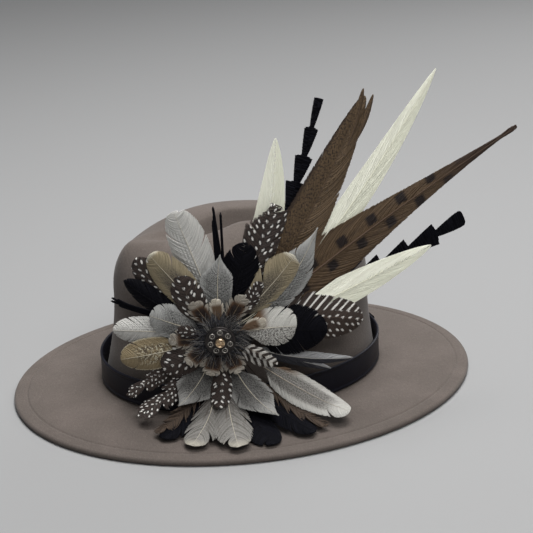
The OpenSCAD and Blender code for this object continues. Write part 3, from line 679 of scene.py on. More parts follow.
def wrap(s, q, w):
    """Turns a place on the flat sheet, s to the back, q up and w out, into a place on the hat."""
    radius = np.where(s < 0, FRONT_R, BACK_R)
    bearing = MOUNT_TURN - np.where(s < 0, s, np.minimum(s, BACK_RUN)) / radius
    out = np.stack([-np.sin(bearing), -np.cos(bearing)], -1)
    plan = MOUNT_XY + radius[..., None] * (out - OUTWARD)
    plan = plan + np.maximum(0, s - BACK_RUN)[..., None] * np.stack([-out[..., 1], out[..., 0]], -1)
    drop = np.maximum(0, -q - DROP_RUN)
    bend = SHEET_LEAN + np.minimum(drop, DROP_R * DROP_TURN) / DROP_R
    flat = np.maximum(0, drop - DROP_R * DROP_TURN)
    top = np.maximum(q, -DROP_RUN)
    lean_sin, lean_cos = math.sin(SHEET_LEAN), math.cos(SHEET_LEAN)
    away = -top * lean_sin + DROP_R * (lean_cos - np.cos(bend)) + flat * np.sin(bend)
    high = top * lean_cos - DROP_R * (np.sin(bend) - lean_sin) - flat * np.cos(bend)
    plan = plan + out * (away + w * np.cos(bend))[..., None]
    return np.concatenate([plan, (MOUNT_Z + high + w * np.sin(bend))[..., None]], -1)


def leaf(x, low, high):
    """The outline of a feather: how wide it is, from 0 to 1, along the length of its vane."""
    peak = low / (low + high)
    x = np.clip(x, 0, 1)
    return (x / peak) ** low * ((1 - x) / (1 - peak)) ** high


def whole_leaf(x, low, high, u):
    """An uncut feather. A cut says how wide the vane is at x along it and u, -1 to 1, across it."""
    return leaf(x, low, high)


def vane_sheet(shape, camber, rise, cut):
    """The sheet that a feather lies in, and its length in millimetres."""
    layer, root, middle, tip, width, start, low, high = shape
    t = np.linspace(0, 1, SHEET_ROWS)[:, None]
    root, middle, tip = (np.array(p, float) for p in (root, middle, tip))
    spine = (1 - t) ** 2 * root + 2 * t * (1 - t) * middle + t ** 2 * tip
    run = (1 - t) * (middle - root) + t * (tip - middle)
    side = np.stack([-run[:, 1], run[:, 0]], -1) / np.linalg.norm(run, axis=1, keepdims=True)
    along = np.concatenate([[0], np.cumsum(np.linalg.norm(np.diff(spine, axis=0), axis=1))])
    x = np.clip((t[:, 0] - start) / (1 - start), 0, 1)
    u = np.linspace(-1, 1, SHEET_COLUMNS)[None, :]
    full = cut(x[:, None], low, high, u) + 0 * u
    half = np.maximum(QUILL_HALF / 2, width / 2 * full)
    flat = spine[:, None, :] + side[:, None, :] * (half * u)[..., None]
    arch = camber * np.minimum(1, half / (width / 2)) * (0.4 - u ** 2)
    lift = FIRST_LAYER + LAYER_GAP * layer + arch + rise * t ** 2
    points = wrap(flat[..., 0], flat[..., 1], lift).reshape(-1, 3) * MM
    c = SHEET_COLUMNS
    faces = [(r * c + k, (r + 1) * c + k, (r + 1) * c + k + 1, r * c + k + 1)
             for r in range(SHEET_ROWS - 1) for k in range(c - 1)]
    mesh = bpy.data.meshes.new("vane_sheet")
    mesh.from_pydata(points.tolist(), [], faces)
    places = np.stack(np.broadcast_arrays(u * 0.5 + 0.5, t, 0 * t), -1)
    marks = np.stack(np.broadcast_arrays(u * half, along[:, None], t), -1)
    for name, values in (("sheet_place", places), ("vane", marks)):
        attribute = mesh.attributes.new(name, "FLOAT_VECTOR", "POINT")
        attribute.data.foreach_set("vector", values.astype(np.float32).ravel())
    return mesh, along[-1]


QUILL_POINTS, QUILL_END, QUILL_THIN, VANE_END, BARB_BOW = 28, 0.985, 0.85, 0.998, 1.3
grow, given = new_tree("barbs_on_a_vane", {
    "Barbs": 90, "Start": 0.25, "Sweep": 0.2, "Barb Width": 0.0007, "Barb Thickness": 0.0002, "Groups": 7.0,
    "Pinch": 0.2, "Fray": 0.1, "Ruffle": 0.0003, "Quill Radius": 0.0007, "Seed": 1, "Vane": None})
barbs, number, reach = threads(grow, calc(grow, "MULTIPLY", given["Barbs"], 2), BARB_POINTS)
side = calc(grow, "MULTIPLY_ADD", calc(grow, "MODULO", number, 2.0), -2.0, 1.0)
order = calc(grow, "FLOOR", calc(grow, "DIVIDE", number, 2.0))
luck = [chance_of(grow, number, calc(grow, "ADD", given["Seed"], i)) for i in range(3)]
order = calc(grow, "ADD", order, calc(grow, "MULTIPLY_ADD", luck[0], 0.5, 0.25))
vane_part = calc(grow, "SUBTRACT", 1.0, given["Start"])
foot = calc(grow, "MULTIPLY_ADD", calc(grow, "DIVIDE", order, given["Barbs"]), vane_part, given["Start"])
left = calc(grow, "DIVIDE", calc(grow, "SUBTRACT", foot, 1.0), given["Sweep"])
run = calc(grow, "MULTIPLY", given["Sweep"], calc(grow, "SUBTRACT", 1.0, calc(grow, "EXPONENT", left)))
frayed = calc(grow, "MULTIPLY", given["Fray"], calc(grow, "POWER", luck[1], 2.0))
length = calc(grow, "MULTIPLY", reach, calc(grow, "SUBTRACT", 1.0, frayed))
climb = calc(grow, "MULTIPLY_ADD", run, calc(grow, "POWER", length, BARB_BOW), foot)
tuft = calc(grow, "MULTIPLY_ADD", foot, given["Groups"], calc(grow, "MULTIPLY", side, 0.37))
sway = calc(grow, "SINE", calc(grow, "MULTIPLY_ADD", foot, given["Groups"], given["Seed"]))
tuft = calc(grow, "ADD", tuft, calc(grow, "MULTIPLY", sway, 0.6))
pull = calc(grow, "SUBTRACT", calc(grow, "ADD", calc(grow, "FLOOR", tuft), 0.5), tuft)
pull = calc(grow, "MULTIPLY", calc(grow, "DIVIDE", pull, given["Groups"]), given["Pinch"])
climb = calc(grow, "ADD", climb, calc(grow, "MULTIPLY", pull, calc(grow, "MULTIPLY", length, length)))
climb = calc(grow, "MINIMUM", climb, VANE_END)
sheet_place = wire(grow, "GeometryNodeInputNamedAttribute", {"Name": "sheet_place"},
                   data_type="FLOAT_VECTOR")
marks = wire(grow, "GeometryNodeInputNamedAttribute", {"Name": "vane"}, data_type="FLOAT_VECTOR")


def on_sheet(value, place):
    """Reads a value of the feather's sheet at a place on it."""
    return wire(grow, "GeometryNodeSampleUVSurface", {
        "Mesh": given["Geometry"], "Value": value, "UV Map": sheet_place, "Sample UV": place},
        data_type="FLOAT_VECTOR")


def along_normal(normal, amount):
    return wire(grow, "ShaderNodeVectorMath", {0: normal, "Scale": amount}, operation="SCALE")


place = vector(grow, calc(grow, "MULTIPLY_ADD", calc(grow, "MULTIPLY", side, length), 0.4995, 0.5), climb)
normal = on_sheet(wire(grow, "GeometryNodeInputNormal"), place)
lift = calc(grow, "MULTIPLY", length, calc(grow, "MULTIPLY_ADD", luck[2], 2.0, -1.0))
barbs = put(grow, barbs, on_sheet(wire(grow, "GeometryNodeInputPosition"), place),
            along_normal(normal, calc(grow, "MULTIPLY", given["Ruffle"], lift)))
barbs = wire(grow, "GeometryNodeSetCurveNormal", {"Curve": barbs, "Normal": normal}, mode="FREE")
barbs = note(grow, barbs, "vane", on_sheet(marks, place))
barbs = note(grow, barbs, "barb", vector(grow, luck[0], length, 0.0))
flat_strip = wire(grow, "GeometryNodeCurvePrimitiveQuadrilateral",
                  {"Width": given["Barb Thickness"], "Height": given["Barb Width"]})
thin = calc(grow, "MULTIPLY_ADD", calc(grow, "POWER", reach, 3.0), -0.6, 1.0)
barbs = wire(grow, "GeometryNodeCurveToMesh", {
    "Curve": barbs, "Profile Curve": flat_strip, "Scale": thin, "Fill Caps": True})
quill, number, along = threads(grow, 1, QUILL_POINTS)
place = vector(grow, 0.5, calc(grow, "MULTIPLY", along, QUILL_END))
normal = on_sheet(wire(grow, "GeometryNodeInputNormal"), place)
quill = put(grow, quill, on_sheet(wire(grow, "GeometryNodeInputPosition"), place),
            along_normal(normal, calc(grow, "MULTIPLY", given["Quill Radius"], 0.4)))
quill = note(grow, quill, "vane", on_sheet(marks, place))
quill = note(grow, quill, "barb", vector(grow, 0.5, 0.0, 1.0))
slim = calc(grow, "MULTIPLY", given["Quill Radius"], calc(grow, "MULTIPLY_ADD", along, -QUILL_THIN, 1.0))
reed = wire(grow, "GeometryNodeCurvePrimitiveCircle", {"Resolution": 8, "Radius": 1.0})
quill = wire(grow, "GeometryNodeCurveToMesh", {
    "Curve": quill, "Profile Curve": reed, "Scale": slim, "Fill Caps": True})
whole = grow.nodes.new("GeometryNodeJoinGeometry")
grow.links.new(barbs, whole.inputs[0])
grow.links.new(quill, whole.inputs[0])
end_tree(grow, whole.outputs[0], given["Vane"])


class VaneFinish(Finish):
    """A feather's colours, laid out in millimetres across and along its vane."""

    def __init__(self, name, colour, shade, depth=0.5, roughness=0.65, shine=0.25):
        super().__init__(name, colour, roughness, Specular_IOR_Level=shine)
        self.across, self.along, self.up = self.parts("vane")
        self.luck, self.reach, self.quill = self.parts("barb")
        aside = self.math("ABSOLUTE", self.across)
        self.slant = self.math("MULTIPLY_ADD", aside, -0.9, self.along)
        self.flat = wire(self.tree, "ShaderNodeCombineXYZ", [self.across, self.along])
        self.lines = wire(self.tree, "ShaderNodeCombineXYZ", [self.across, self.slant])
        streaks = self.noise(1.0, 2, (0.05, 2.2, 1), self.lines)
        self.coat(self.math("MULTIPLY", self.step(self.luck, 0.2, 1.0), depth), shade)
        self.coat(self.math("MULTIPLY", self.step(streaks, 0.5, 0.75), depth), shade)

    def painted_shade_at_foot(self, colour, low, high):
        """Painted shade: darkens the foot of the vane, near the quill pad."""
        self.coat(self.math("MULTIPLY", self.step(self.up, high, low), 0.8), colour)

    def parts(self, name):
        attribute = wire(self.tree, "ShaderNodeAttribute", output="Vector", attribute_name=name)
        split = wire(self.tree, "ShaderNodeSeparateXYZ", [attribute])
        return split.node.outputs

    def mottle(self, size, low, high, stretch=(1, 1, 1), detail=3.0):
        return self.step(self.noise(1 / size, detail, stretch, self.flat), low, high)

    def dots(self, pitch, radius, jitter, stretch):
        """Round spots in rows that follow the barbs."""
        cells = wire(self.tree, "ShaderNodeMapping",
                     {"Vector": self.lines, "Scale": (1 / (pitch * stretch), 1 / pitch, 1)})
        away = wire(self.tree, "ShaderNodeTexVoronoi",
                    {"Vector": cells, "Scale": 1.0, "Randomness": jitter}, voronoi_dimensions="2D")
        return self.step(away, radius + 0.07, radius - 0.07)

    def bars(self, pitch, share, wander, slant=None):
        """Bars across the vane, one to each pitch, that take a share of it."""
        bend = self.math("MULTIPLY", self.noise(0.25, 2, (1, 1, 1), self.flat), wander * 2)
        turns = self.math("ADD", self.math("DIVIDE", slant or self.slant, pitch), bend)
        phase = self.math("ABSOLUTE", self.math("SUBTRACT", self.math("FRACT", turns), 0.5))
        return self.step(phase, share / 2 + 0.06, share / 2 - 0.06)

    def both(self, *masks):
        product = masks[0]
        for mask in masks[1:]:
            product = self.math("MULTIPLY", product, mask)
        return product

    def upper(self, soft):
        return self.step(self.across, -soft, soft)

    def lower(self, soft):
        return self.step(self.across, soft, -soft)

    def line_quill(self, colour):
        self.coat(self.quill, colour)


def join(name, pieces):
    """Joins objects into the first of them."""
    if len(pieces) > 1:
        with bpy.context.temp_override(active_object=pieces[0], object=pieces[0], selected_objects=pieces,
                                       selected_editable_objects=pieces):
            bpy.ops.object.join()
    pieces[0].name = pieces[0].data.name = name
    return pieces[0]


def plume(node, slot, finish, shapes, seed, pitch=0.58, sweep=14.0, camber=1.8, rise=0.0, groups=3.0,
          pinch=0.08, fray=0.05, ruffle=0.12, quill=0.5, overlap=1.3, thick=0.16, cut=whole_leaf):
    """Grows the feathers of one node, joins them and puts them on the mount.

    Each shape is a layer, three points of the quill, the width, the bare share of the quill and
    the two powers of the leaf, in millimetres. The barbs are a pitch apart and overlap by a share.
    """
    grown = []
    for number, shape in enumerate(shapes):
        sheet, length = vane_sheet(shape, camber, rise, cut)
        start = shape[5]
        grown.append(apply_tree(
            node + "_feather", sheet, grow, Barbs=int(length * (1 - start) / pitch), Start=start,
            Sweep=sweep / length, Barb_Width=pitch * overlap * MM, Barb_Thickness=thick * MM, Groups=groups,
            Pinch=pinch, Fray=fray, Ruffle=ruffle * MM, Quill_Radius=quill * MM, Seed=seed + 31 * number,
            Vane=finish.material))
    piece = join(node + "_feather", grown)
    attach(piece, "feather_mount")
    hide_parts(node)


cream = VaneFinish("cream_vane", (0.94, 0.94, 0.80), (0.76, 0.76, 0.61), 0.35)
cream.coat(cream.math("MULTIPLY", cream.lower(1.5), 0.3), (0.66, 0.67, 0.49))
long_streaks = cream.step(cream.noise(1.0, 3, (1.6, 0.02, 1), cream.flat), 0.55, 0.75)
cream.coat(cream.math("MULTIPLY", long_streaks, 0.4), (0.52, 0.50, 0.36))
cream.line_quill((0.66, 0.64, 0.50))
long_look = dict(pitch=0.7, sweep=60, camber=0.15, groups=2, pinch=0, fray=0.01, ruffle=0.01, quill=0.32,
                 overlap=0.5, thick=0.04)
plume("cream_quill_top", "cream_vane", cream, [(1, (6, 8), (38, 44), (46, 130), 23, 0.25, 0.5, 0.7)],
      seed=3, **long_look)
plume("cream_quill_tall", "cream_vane", cream, [(1, (10, 3), (76, 36), (169, 162), 20, 0.3, 0.5, 0.75)],
      seed=4, **long_look)
plume("cream_quill_right", "cream_vane", cream, [(4, (11, -1), (64, 8), (158, 39), 23, 0.25, 0.45, 0.7)],
      seed=5, **long_look)

# ------------------------------------------------------------------ brown and barred tail quills
# A turkey quill with fine dark markings, frayed into prongs at its tip, and a pheasant's tail
# feather: chestnut, with dark bars in pairs and a long narrow point that ends in a small knob.


def broad_foot(x, low, high, u):
    """A leaf that keeps its breadth near the pad and is drawn in towards its tip."""
    return leaf(x, low, high) * np.clip(1.2 - 0.5 * x, 0, 1)


brown = VaneFinish("brown_vane", (0.115, 0.075, 0.041), (0.070, 0.046, 0.026))
brown.coat(brown.both(brown.mottle(1.3, 0.46, 0.6, (1.2, 0.8, 1), 4), brown.upper(2.5)),
           (0.036, 0.024, 0.016))
brown.coat(brown.both(brown.mottle(1.6, 0.56, 0.68, (1.4, 0.5, 1), 4), brown.lower(2.5)),
           (0.060, 0.042, 0.028))
brown.coat(brown.both(brown.step(brown.reach, 0.75, 0.95), brown.upper(1)), (0.035, 0.023, 0.016))
brown.line_quill((0.07, 0.045, 0.03))
plume("brown_quill_tall", "brown_vane", brown,
      [(2, (9, 6), (50, 40), (113, 150), 33, 0.25, 0.4, 0.5),
       (2.3, (98, 118), (106, 132), (112, 155), 6, 0.1, 0.5, 0.5),
       (2.5, (103, 118), (112, 132), (119, 150), 5, 0.1, 0.5, 0.5)],
      pitch=0.7, sweep=26, camber=1.2, pinch=0.02, quill=0.45, cut=broad_foot, seed=6)


def tail_outline(x, low, high, u):
    """A blade that runs out into a narrow neck, with a small knob at its end."""
    blade = leaf(x, low, high) * np.clip(1.3 - 1.1 * x, 0, 1)
    neck = 0.085 * (x > 0.6) * (1 - 0.35 * x)
    knob = 0.035 * np.exp(-((x - 0.98) / 0.02) ** 2)
    return np.where(x < 1, np.maximum(blade, neck) + knob, 0.05)


BAR_PITCH, BAR_LONG, BAR_SHIFT, SIDE_SHIFT = 26.0, 8.0, -10.5, 6.0
barred = VaneFinish("barred_vane", (0.092, 0.058, 0.031), (0.058, 0.036, 0.019))
barred.coat(barred.math("MULTIPLY", barred.mottle(5.0, 0.45, 0.7, (1.5, 0.15, 1)), 0.7),
            (0.050, 0.030, 0.017))
which_side = barred.math("MULTIPLY", barred.math("SIGN", barred.across), SIDE_SHIFT)
bar_line = barred.math("ADD", barred.math("ADD", barred.along, BAR_SHIFT), which_side)
off_quill = barred.math("ABSOLUTE", barred.across)
barred.coat(barred.both(barred.bars(BAR_PITCH, BAR_LONG / BAR_PITCH, 0.03, bar_line),
                        barred.step(off_quill, 1.2, 2.0), barred.step(off_quill, 9.0, 8.0)),
            (0.012, 0.007, 0.006))
barred.coat(barred.step(barred.up, 0.76, 0.9), (0.034, 0.019, 0.012))
barred.line_quill((0.075, 0.045, 0.028))
plume("barred_tail_quill", "barred_vane", barred,
      [(3, (10, 0), (64, 40), (231, 114), 40, 0.15, 0.35, 0.7)],
      pitch=0.75, sweep=34, camber=1.4, pinch=0.03, quill=0.9, cut=tail_outline, seed=7)

# ------------------------------------------------------------------ quills cut into arrows
# Black cock feathers with their vanes trimmed by scissors into a row of arrow heads, each
# widening towards the tip and cut straight across.


TOOTH_NECK, WIDEST_TOOTH = 0.3, 1.6


def arrows(count, foot, tip, power=1.0):
    """Teeth that widen towards the tip, from foot to tip times the width, but never past the widest."""
    def outline(x, low, high, u):
        part = np.clip(x, 0, 0.9999) * count
        tooth = TOOTH_NECK + (1 - TOOTH_NECK) * (part - np.floor(part))
        return tooth * np.minimum(tip + (foot - tip) * np.abs(1 - x) ** power, WIDEST_TOOTH)
    return outline


black = VaneFinish("black_vane", (0.0022, 0.0022, 0.0035), (0.005, 0.005, 0.008), 0.6, 0.6, 0.05)
black.line_quill((0.005, 0.005, 0.006))
arrow_look = dict(pitch=0.5, sweep=0.15, camber=0.0, groups=9, pinch=0, fray=0, ruffle=0.02, quill=0.35,
                  overlap=2.9, thick=0.05)
plume("arrow_quill_upper", "black_vane", black, [(0, (8, 7), (42, 40), (80, 152), 12, 0.2, 0.3, 0.2)],
      cut=arrows(9, 3.0, 0.6), seed=8, **arrow_look)
plume("arrow_quill_lower", "black_vane", black, [(0, (10, -3), (86, 14), (187, 54), 15, 0.2, 0.3, 0.2)],
      cut=arrows(7, 1.5, 0.49, 0.24), seed=9, **arrow_look)

# ------------------------------------------------------------------ navy blades
# Two narrow strips of cock feather dyed navy. They are sewn on over the arrow quills, and
# the petals cover their feet.
navy = VaneFinish("navy_vane", (0.003, 0.004, 0.011), (0.007, 0.009, 0.020), 0.6, 0.5, 0.2)
navy.line_quill((0.005, 0.005, 0.009))
plume("navy_blades", "navy_vane", navy,
      [(2, (10, 2), (60, 14), (104, 36), 12, 0.3, 0.4, 0.9),
       (1, (10, -1), (58, 8), (92, 20), 10, 0.3, 0.4, 0.9)], seed=10)

# ------------------------------------------------------------------ guinea fowl feathers
# Dark feathers of guinea fowl with rows of white spots. The big one at the right has white
# bars in its upper half; the one at the top is trimmed square.
DARK_GROUND, RIGHT_GROUND = (0.030, 0.021, 0.018), (0.034, 0.023, 0.018)
SPOT_WHITE = (0.68, 0.66, 0.62)


def guinea_finish(name, pitch, radius):
    finish = VaneFinish(name, DARK_GROUND, (0.050, 0.037, 0.031), 0.6)
    finish.coat(finish.dots(pitch, radius + 0.12, 0.5, 0.9), (0.007, 0.005, 0.005))
    finish.coat(finish.dots(pitch, radius, 0.5, 0.9), SPOT_WHITE)
    finish.line_quill((0.05, 0.038, 0.030))
    return finish


guinea = guinea_finish("guinea_vane", 5.2, 0.19)
fine_guinea = guinea_finish("fine_guinea_vane", 3.4, 0.20)
barred_guinea = VaneFinish("barred_guinea_vane", RIGHT_GROUND, (0.055, 0.038, 0.030), 0.6)
barred_guinea.coat(barred_guinea.dots(5.4, 0.19, 0.35, 0.9), SPOT_WHITE)
barred_half = barred_guinea.step(barred_guinea.across, 4.5, 5.5)
barred_guinea.coat(barred_half, RIGHT_GROUND)
barred_guinea.coat(barred_guinea.both(barred_guinea.bars(6.0, 0.26, 0.06), barred_half), SPOT_WHITE)
barred_guinea.line_quill((0.09, 0.06, 0.045))


def trimmed_aslant(x, low, high, u):
    """Cut straight across at a slant: the right-hand edge is the longer one."""
    end = 1.0 - 0.20 * np.clip(u, 0, 1)
    return leaf(x * 0.9, low, high) * np.clip((end - x) / 0.03, 0, 1)


def pointed(x, low, high, u):
    """Trimmed along two straight lines to a point."""
    return leaf(x, low, high) * np.clip(2.5 * (1.02 - x), 0, 1)


plume("guinea_feather_top", "guinea_vane", guinea, [(6, (4, 9), (24, 40), (38, 88), 28, 0.25, 0.6, 0.15)],
      cut=trimmed_aslant, sweep=10, camber=2.5, seed=11)
plume("guinea_feather_right", "guinea_vane", barred_guinea,
      [(5, (10, 1), (45, 13), (101, -5), 35, 0.15, 0.7, 0.5)], camber=3.0, sweep=16, seed=12)
plume("guinea_feathers_left", "guinea_vane", guinea,
      [(6, (-8, 5), (-38, 30), (-59, 48), 22, 0.2, 0.6, 0.4),
       (10, (-6, 4), (-18, 22), (-24, 42), 21, 0.1, 0.6, 0.4)], seed=13)
plume("guinea_feather_low_left", "guinea_vane", guinea,
      [(10, (-7, -6), (-22, -16), (-36, -25), 21, 0.1, 0.6, 0.4)], seed=14)
plume("guinea_tufts_front", "guinea_vane", fine_guinea,
      [(6, (-8, -6), (-40, -28), (-60, -54), 13, 0.3, 0.6, 0.4),
       (4, (-7, -7), (-30, -40), (-48, -68), 16, 0.3, 0.6, 0.3)], fray=0.4, pinch=0.6, seed=15)
plume("guinea_feather_bottom", "guinea_vane", guinea,
      [(9, (0, -9), (1, -30), (-2, -58), 13, 0.2, 0.6, 0.4)], seed=16)

# ------------------------------------------------------------------ black petals
# Broad black goose feathers with soft tips fill the gaps between the pale ones. Three
# longer ones are sewn in below the button.
petal_look = dict(camber=2.6, rise=2.0, sweep=15, ruffle=0.07)
plume("black_petal_top", "black_vane", black, [(7.5, (2, 10), (12, 30), (18, 64), 27, 0.15, 0.6, 0.5)],
      seed=17, **petal_look)
plume("black_petal_left", "black_vane", black, [(7, (-8, 3), (-40, 22), (-65, 33), 18, 0.2, 0.6, 0.6)],
      seed=18, **petal_look)
plume("black_petal_right", "black_vane", black, [(6, (10, -1), (40, 2), (72, -7), 36, 0.15, 0.6, 0.55)],
      seed=19, **petal_look)
plume("black_petals_low", "black_vane", black,
      [(1, (3, -10), (14, -50), (24, -92), 20, 0.3, 0.6, 0.4),
       (2, (5, -9), (28, -50), (46, -88), 16, 0.3, 0.6, 0.4),
       (1, (-3, -10), (-12, -50), (-30, -84), 14, 0.3, 0.6, 0.4)], seed=20, **petal_look)

# ------------------------------------------------------------------ white petals
# White duck and partridge feathers, some washed with grey or brown at the base, and a long
# fringe that hangs over the brim.
white = VaneFinish("white_vane", (0.54, 0.53, 0.50), (0.36, 0.355, 0.335), 0.5)
white.coat(white.both(white.step(white.up, 0.6, 0.3), white.mottle(3.0, 0.35, 0.65)), (0.20, 0.195, 0.19))
# Painted shade on the foot of the white petals, near the pad.
white.painted_shade_at_foot((0.10, 0.095, 0.09), 0.15, 0.5)
white.line_quill((0.50, 0.46, 0.38))
greyed = VaneFinish("white_grey_vane", (0.54, 0.53, 0.49), (0.38, 0.37, 0.34), 0.5)
greyed.coat(greyed.both(greyed.lower(2), greyed.mottle(1.1, 0.45, 0.6, detail=4)), (0.15, 0.14, 0.13))
greyed.coat(greyed.both(greyed.upper(2), greyed.step(greyed.up, 0.62, 0.45)), (0.13, 0.075, 0.040))
# Painted shade on the foot of this petal, near the pad.
greyed.painted_shade_at_foot((0.08, 0.06, 0.05), 0.1, 0.35)
greyed.line_quill((0.50, 0.46, 0.38))
streaked = VaneFinish("white_streaked_vane", (0.21, 0.20, 0.185), (0.10, 0.095, 0.085), 0.9)
dark_streaks = streaked.both(streaked.mottle(2.5, 0.5, 0.7, (1.5, 0.12, 1)),
                             streaked.step(streaked.up, 0.9, 0.6))
streaked.coat(dark_streaks, (0.075, 0.062, 0.050))
streaked.coat(streaked.math("MULTIPLY", streaked.step(streaked.up, 0.90, 1.0), 0.7), (0.42, 0.39, 0.32))
# Painted shade over the lower part of the fringe petals, towards the pad.
streaked.painted_shade_at_foot((0.06, 0.05, 0.045), 0.3, 0.75)
streaked.line_quill((0.45, 0.41, 0.33))
plume("white_petal_top", "white_vane", white, [(4, (-2, 10), (-10, 42), (-28, 85), 28, 0.2, 0.6, 0.35)],
      seed=21, **petal_look)
plume("white_petal_left", "white_vane", white, [(6, (-9, 0), (-42, 4), (-76, -6), 20, 0.2, 0.6, 0.5)],
      seed=22, **petal_look)
plume("white_petal_right", "white_vane", greyed, [(9, (9, 1), (26, 6), (48, 2), 28, 0.1, 0.7, 0.35)],
      seed=23, **petal_look)
fringe_look = dict(sweep=26, camber=2.4, groups=4, pinch=0.25, fray=0.2, ruffle=0.12)
plume("white_fringe_bottom", "white_vane", streaked,
      [(5, (-2, -10), (-4, -55), (-14, -92), 19, 0.3, 0.7, 0.5)], seed=24, **fringe_look)
plume("white_petal_bottom", "white_vane", streaked, [(6, (1, -10), (2, -52), (7, -95), 22, 0.3, 0.7, 0.5)],
      seed=25, **fringe_look)

# ------------------------------------------------------------------ speckled leaf
# A white feather with fine grey speckle and a brown line along one edge. It is sewn in at
# the lower right and hangs over the brim.
speckled = VaneFinish("speckled_vane", (0.42, 0.41, 0.38), (0.30, 0.29, 0.27), 0.4)
leaf_middle = speckled.both(speckled.step(speckled.reach, 0.75, 0.45),
                            speckled.step(speckled.up, 0.93, 0.8))
speckled.coat(speckled.math("MULTIPLY", leaf_middle, 0.85), (0.155, 0.148, 0.135))
speckled.coat(speckled.both(leaf_middle, speckled.mottle(0.8, 0.46, 0.58, detail=3)), (0.09, 0.082, 0.075))
brown_edge = speckled.both(speckled.step(speckled.reach, 0.45, 0.8),
                           speckled.step(speckled.up, 0.62, 0.45), speckled.upper(1))
speckled.coat(brown_edge, (0.12, 0.075, 0.045))
# Painted shade on the foot of the speckled leaf, near the pad.
speckled.painted_shade_at_foot((0.07, 0.055, 0.045), 0.2, 0.42)
speckled.line_quill((0.35, 0.30, 0.24))
plume("speckled_leaf_low_right", "speckled_vane", speckled,
      [(5, (8, -8), (37, -32), (74, -80), 25, 0.3, 0.6, 0.35)], seed=26, **petal_look)

# ------------------------------------------------------------------ grey petals
# Silver partridge feathers: pale rims round a middle of fine grey speckle. The two below
# the button are darker than the others.


def rimmed_finish(name, rim, rim_shade, middle, speck, inner=0.55):
    """A rim round a speckled middle that ends at the share inner of each barb."""
    finish = VaneFinish(name, rim, rim_shade, 0.5)
    field = finish.both(finish.step(finish.reach, inner + 0.35, inner), finish.step(finish.up, 0.9, 0.62))
    finish.coat(finish.math("MULTIPLY", field, 0.85), middle)
    finish.coat(finish.both(field, finish.mottle(0.8, 0.46, 0.6, (0.8, 1.2, 1), 4)), speck)
    # Painted shade on the foot of the petal, in the speck colour, near the pad.
    finish.painted_shade_at_foot(speck, 0.15, 0.5)
    finish.line_quill((0.42, 0.38, 0.30))
    return finish


grey = rimmed_finish("grey_vane", (0.37, 0.37, 0.355), (0.27, 0.27, 0.26), (0.20, 0.20, 0.19),
                     (0.075, 0.073, 0.070))
low_grey = rimmed_finish("low_grey_vane", (0.27, 0.265, 0.25), (0.18, 0.177, 0.168),
                         (0.085, 0.082, 0.077), (0.036, 0.034, 0.032), 0.6)
plume("grey_petal_top", "grey_vane", grey, [(9, (0, 9), (-2, 35), (2, 57), 23, 0.1, 0.6, 0.6)],
      camber=2.6, rise=2.0, sweep=8, ruffle=0.07, cut=pointed, seed=27)
plume("grey_petal_left", "grey_vane", grey, [(9, (-8, 2), (-24, 8), (-44, 13), 25, 0.1, 0.6, 0.4)],
      seed=28, **petal_look)
plume("grey_petal_low_left", "grey_vane", low_grey,
      [(7, (-5, -8), (-12, -34), (-25, -57), 25, 0.2, 0.6, 0.45)],
      cut=pointed, seed=29, **petal_look)
plume("grey_petal_low_right", "grey_vane", low_grey,
      [(8, (4, -9), (12, -40), (30, -72), 24, 0.2, 0.6, 0.45)],
      cut=pointed, seed=30, **petal_look)
plume("grey_petal_upper_right", "grey_vane", grey, [(7, (8, 6), (46, 24), (69, 67), 28, 0.2, 0.6, 0.6)],
      cut=pointed, seed=31, **petal_look)

# ------------------------------------------------------------------ olive and tan petals
# Hen pheasant feathers: olive gold with a grey middle, and golden tan with cream squiggles.
# Two olive ones stand above the button, and the tan one points to the front.
olive = rimmed_finish("olive_vane", (0.27, 0.225, 0.145), (0.19, 0.16, 0.10), (0.14, 0.12, 0.09),
                      (0.055, 0.047, 0.038), 0.35)
olive.coat(olive.step(olive.up, 0.95, 0.99), (0.45, 0.42, 0.34))
plume("olive_petal_left", "olive_vane", olive, [(8, (-6, 7), (-20, 32), (-44, 55), 25, 0.15, 0.6, 0.4)],
      seed=32, **petal_look)
plume("olive_petal_right", "olive_vane", olive, [(8, (6, 7), (24, 22), (50, 51), 26, 0.2, 0.6, 0.35)],
      pinch=0.2, fray=0.12, seed=33, **petal_look)
tan = VaneFinish("tan_vane", (0.26, 0.205, 0.120), (0.18, 0.14, 0.08))
tan_middle = tan.both(tan.step(tan.reach, 0.65, 0.45), tan.step(tan.up, 0.85, 0.7))
tan.coat(tan.both(tan_middle, tan.mottle(3.0, 0.4, 0.6)), (0.10, 0.075, 0.048))
tan.coat(tan.both(tan_middle, tan.bars(3.6, 0.22, 1.6)), (0.50, 0.46, 0.34))
tan.coat(tan.step(tan.reach, 0.88, 0.97), (0.45, 0.40, 0.29))
tan.line_quill((0.50, 0.46, 0.36))
plume("tan_petal_left", "tan_vane", tan, [(8, (-9, -3), (-36, -12), (-67, -24), 23, 0.2, 0.6, 0.45)],
      seed=34, **petal_look)

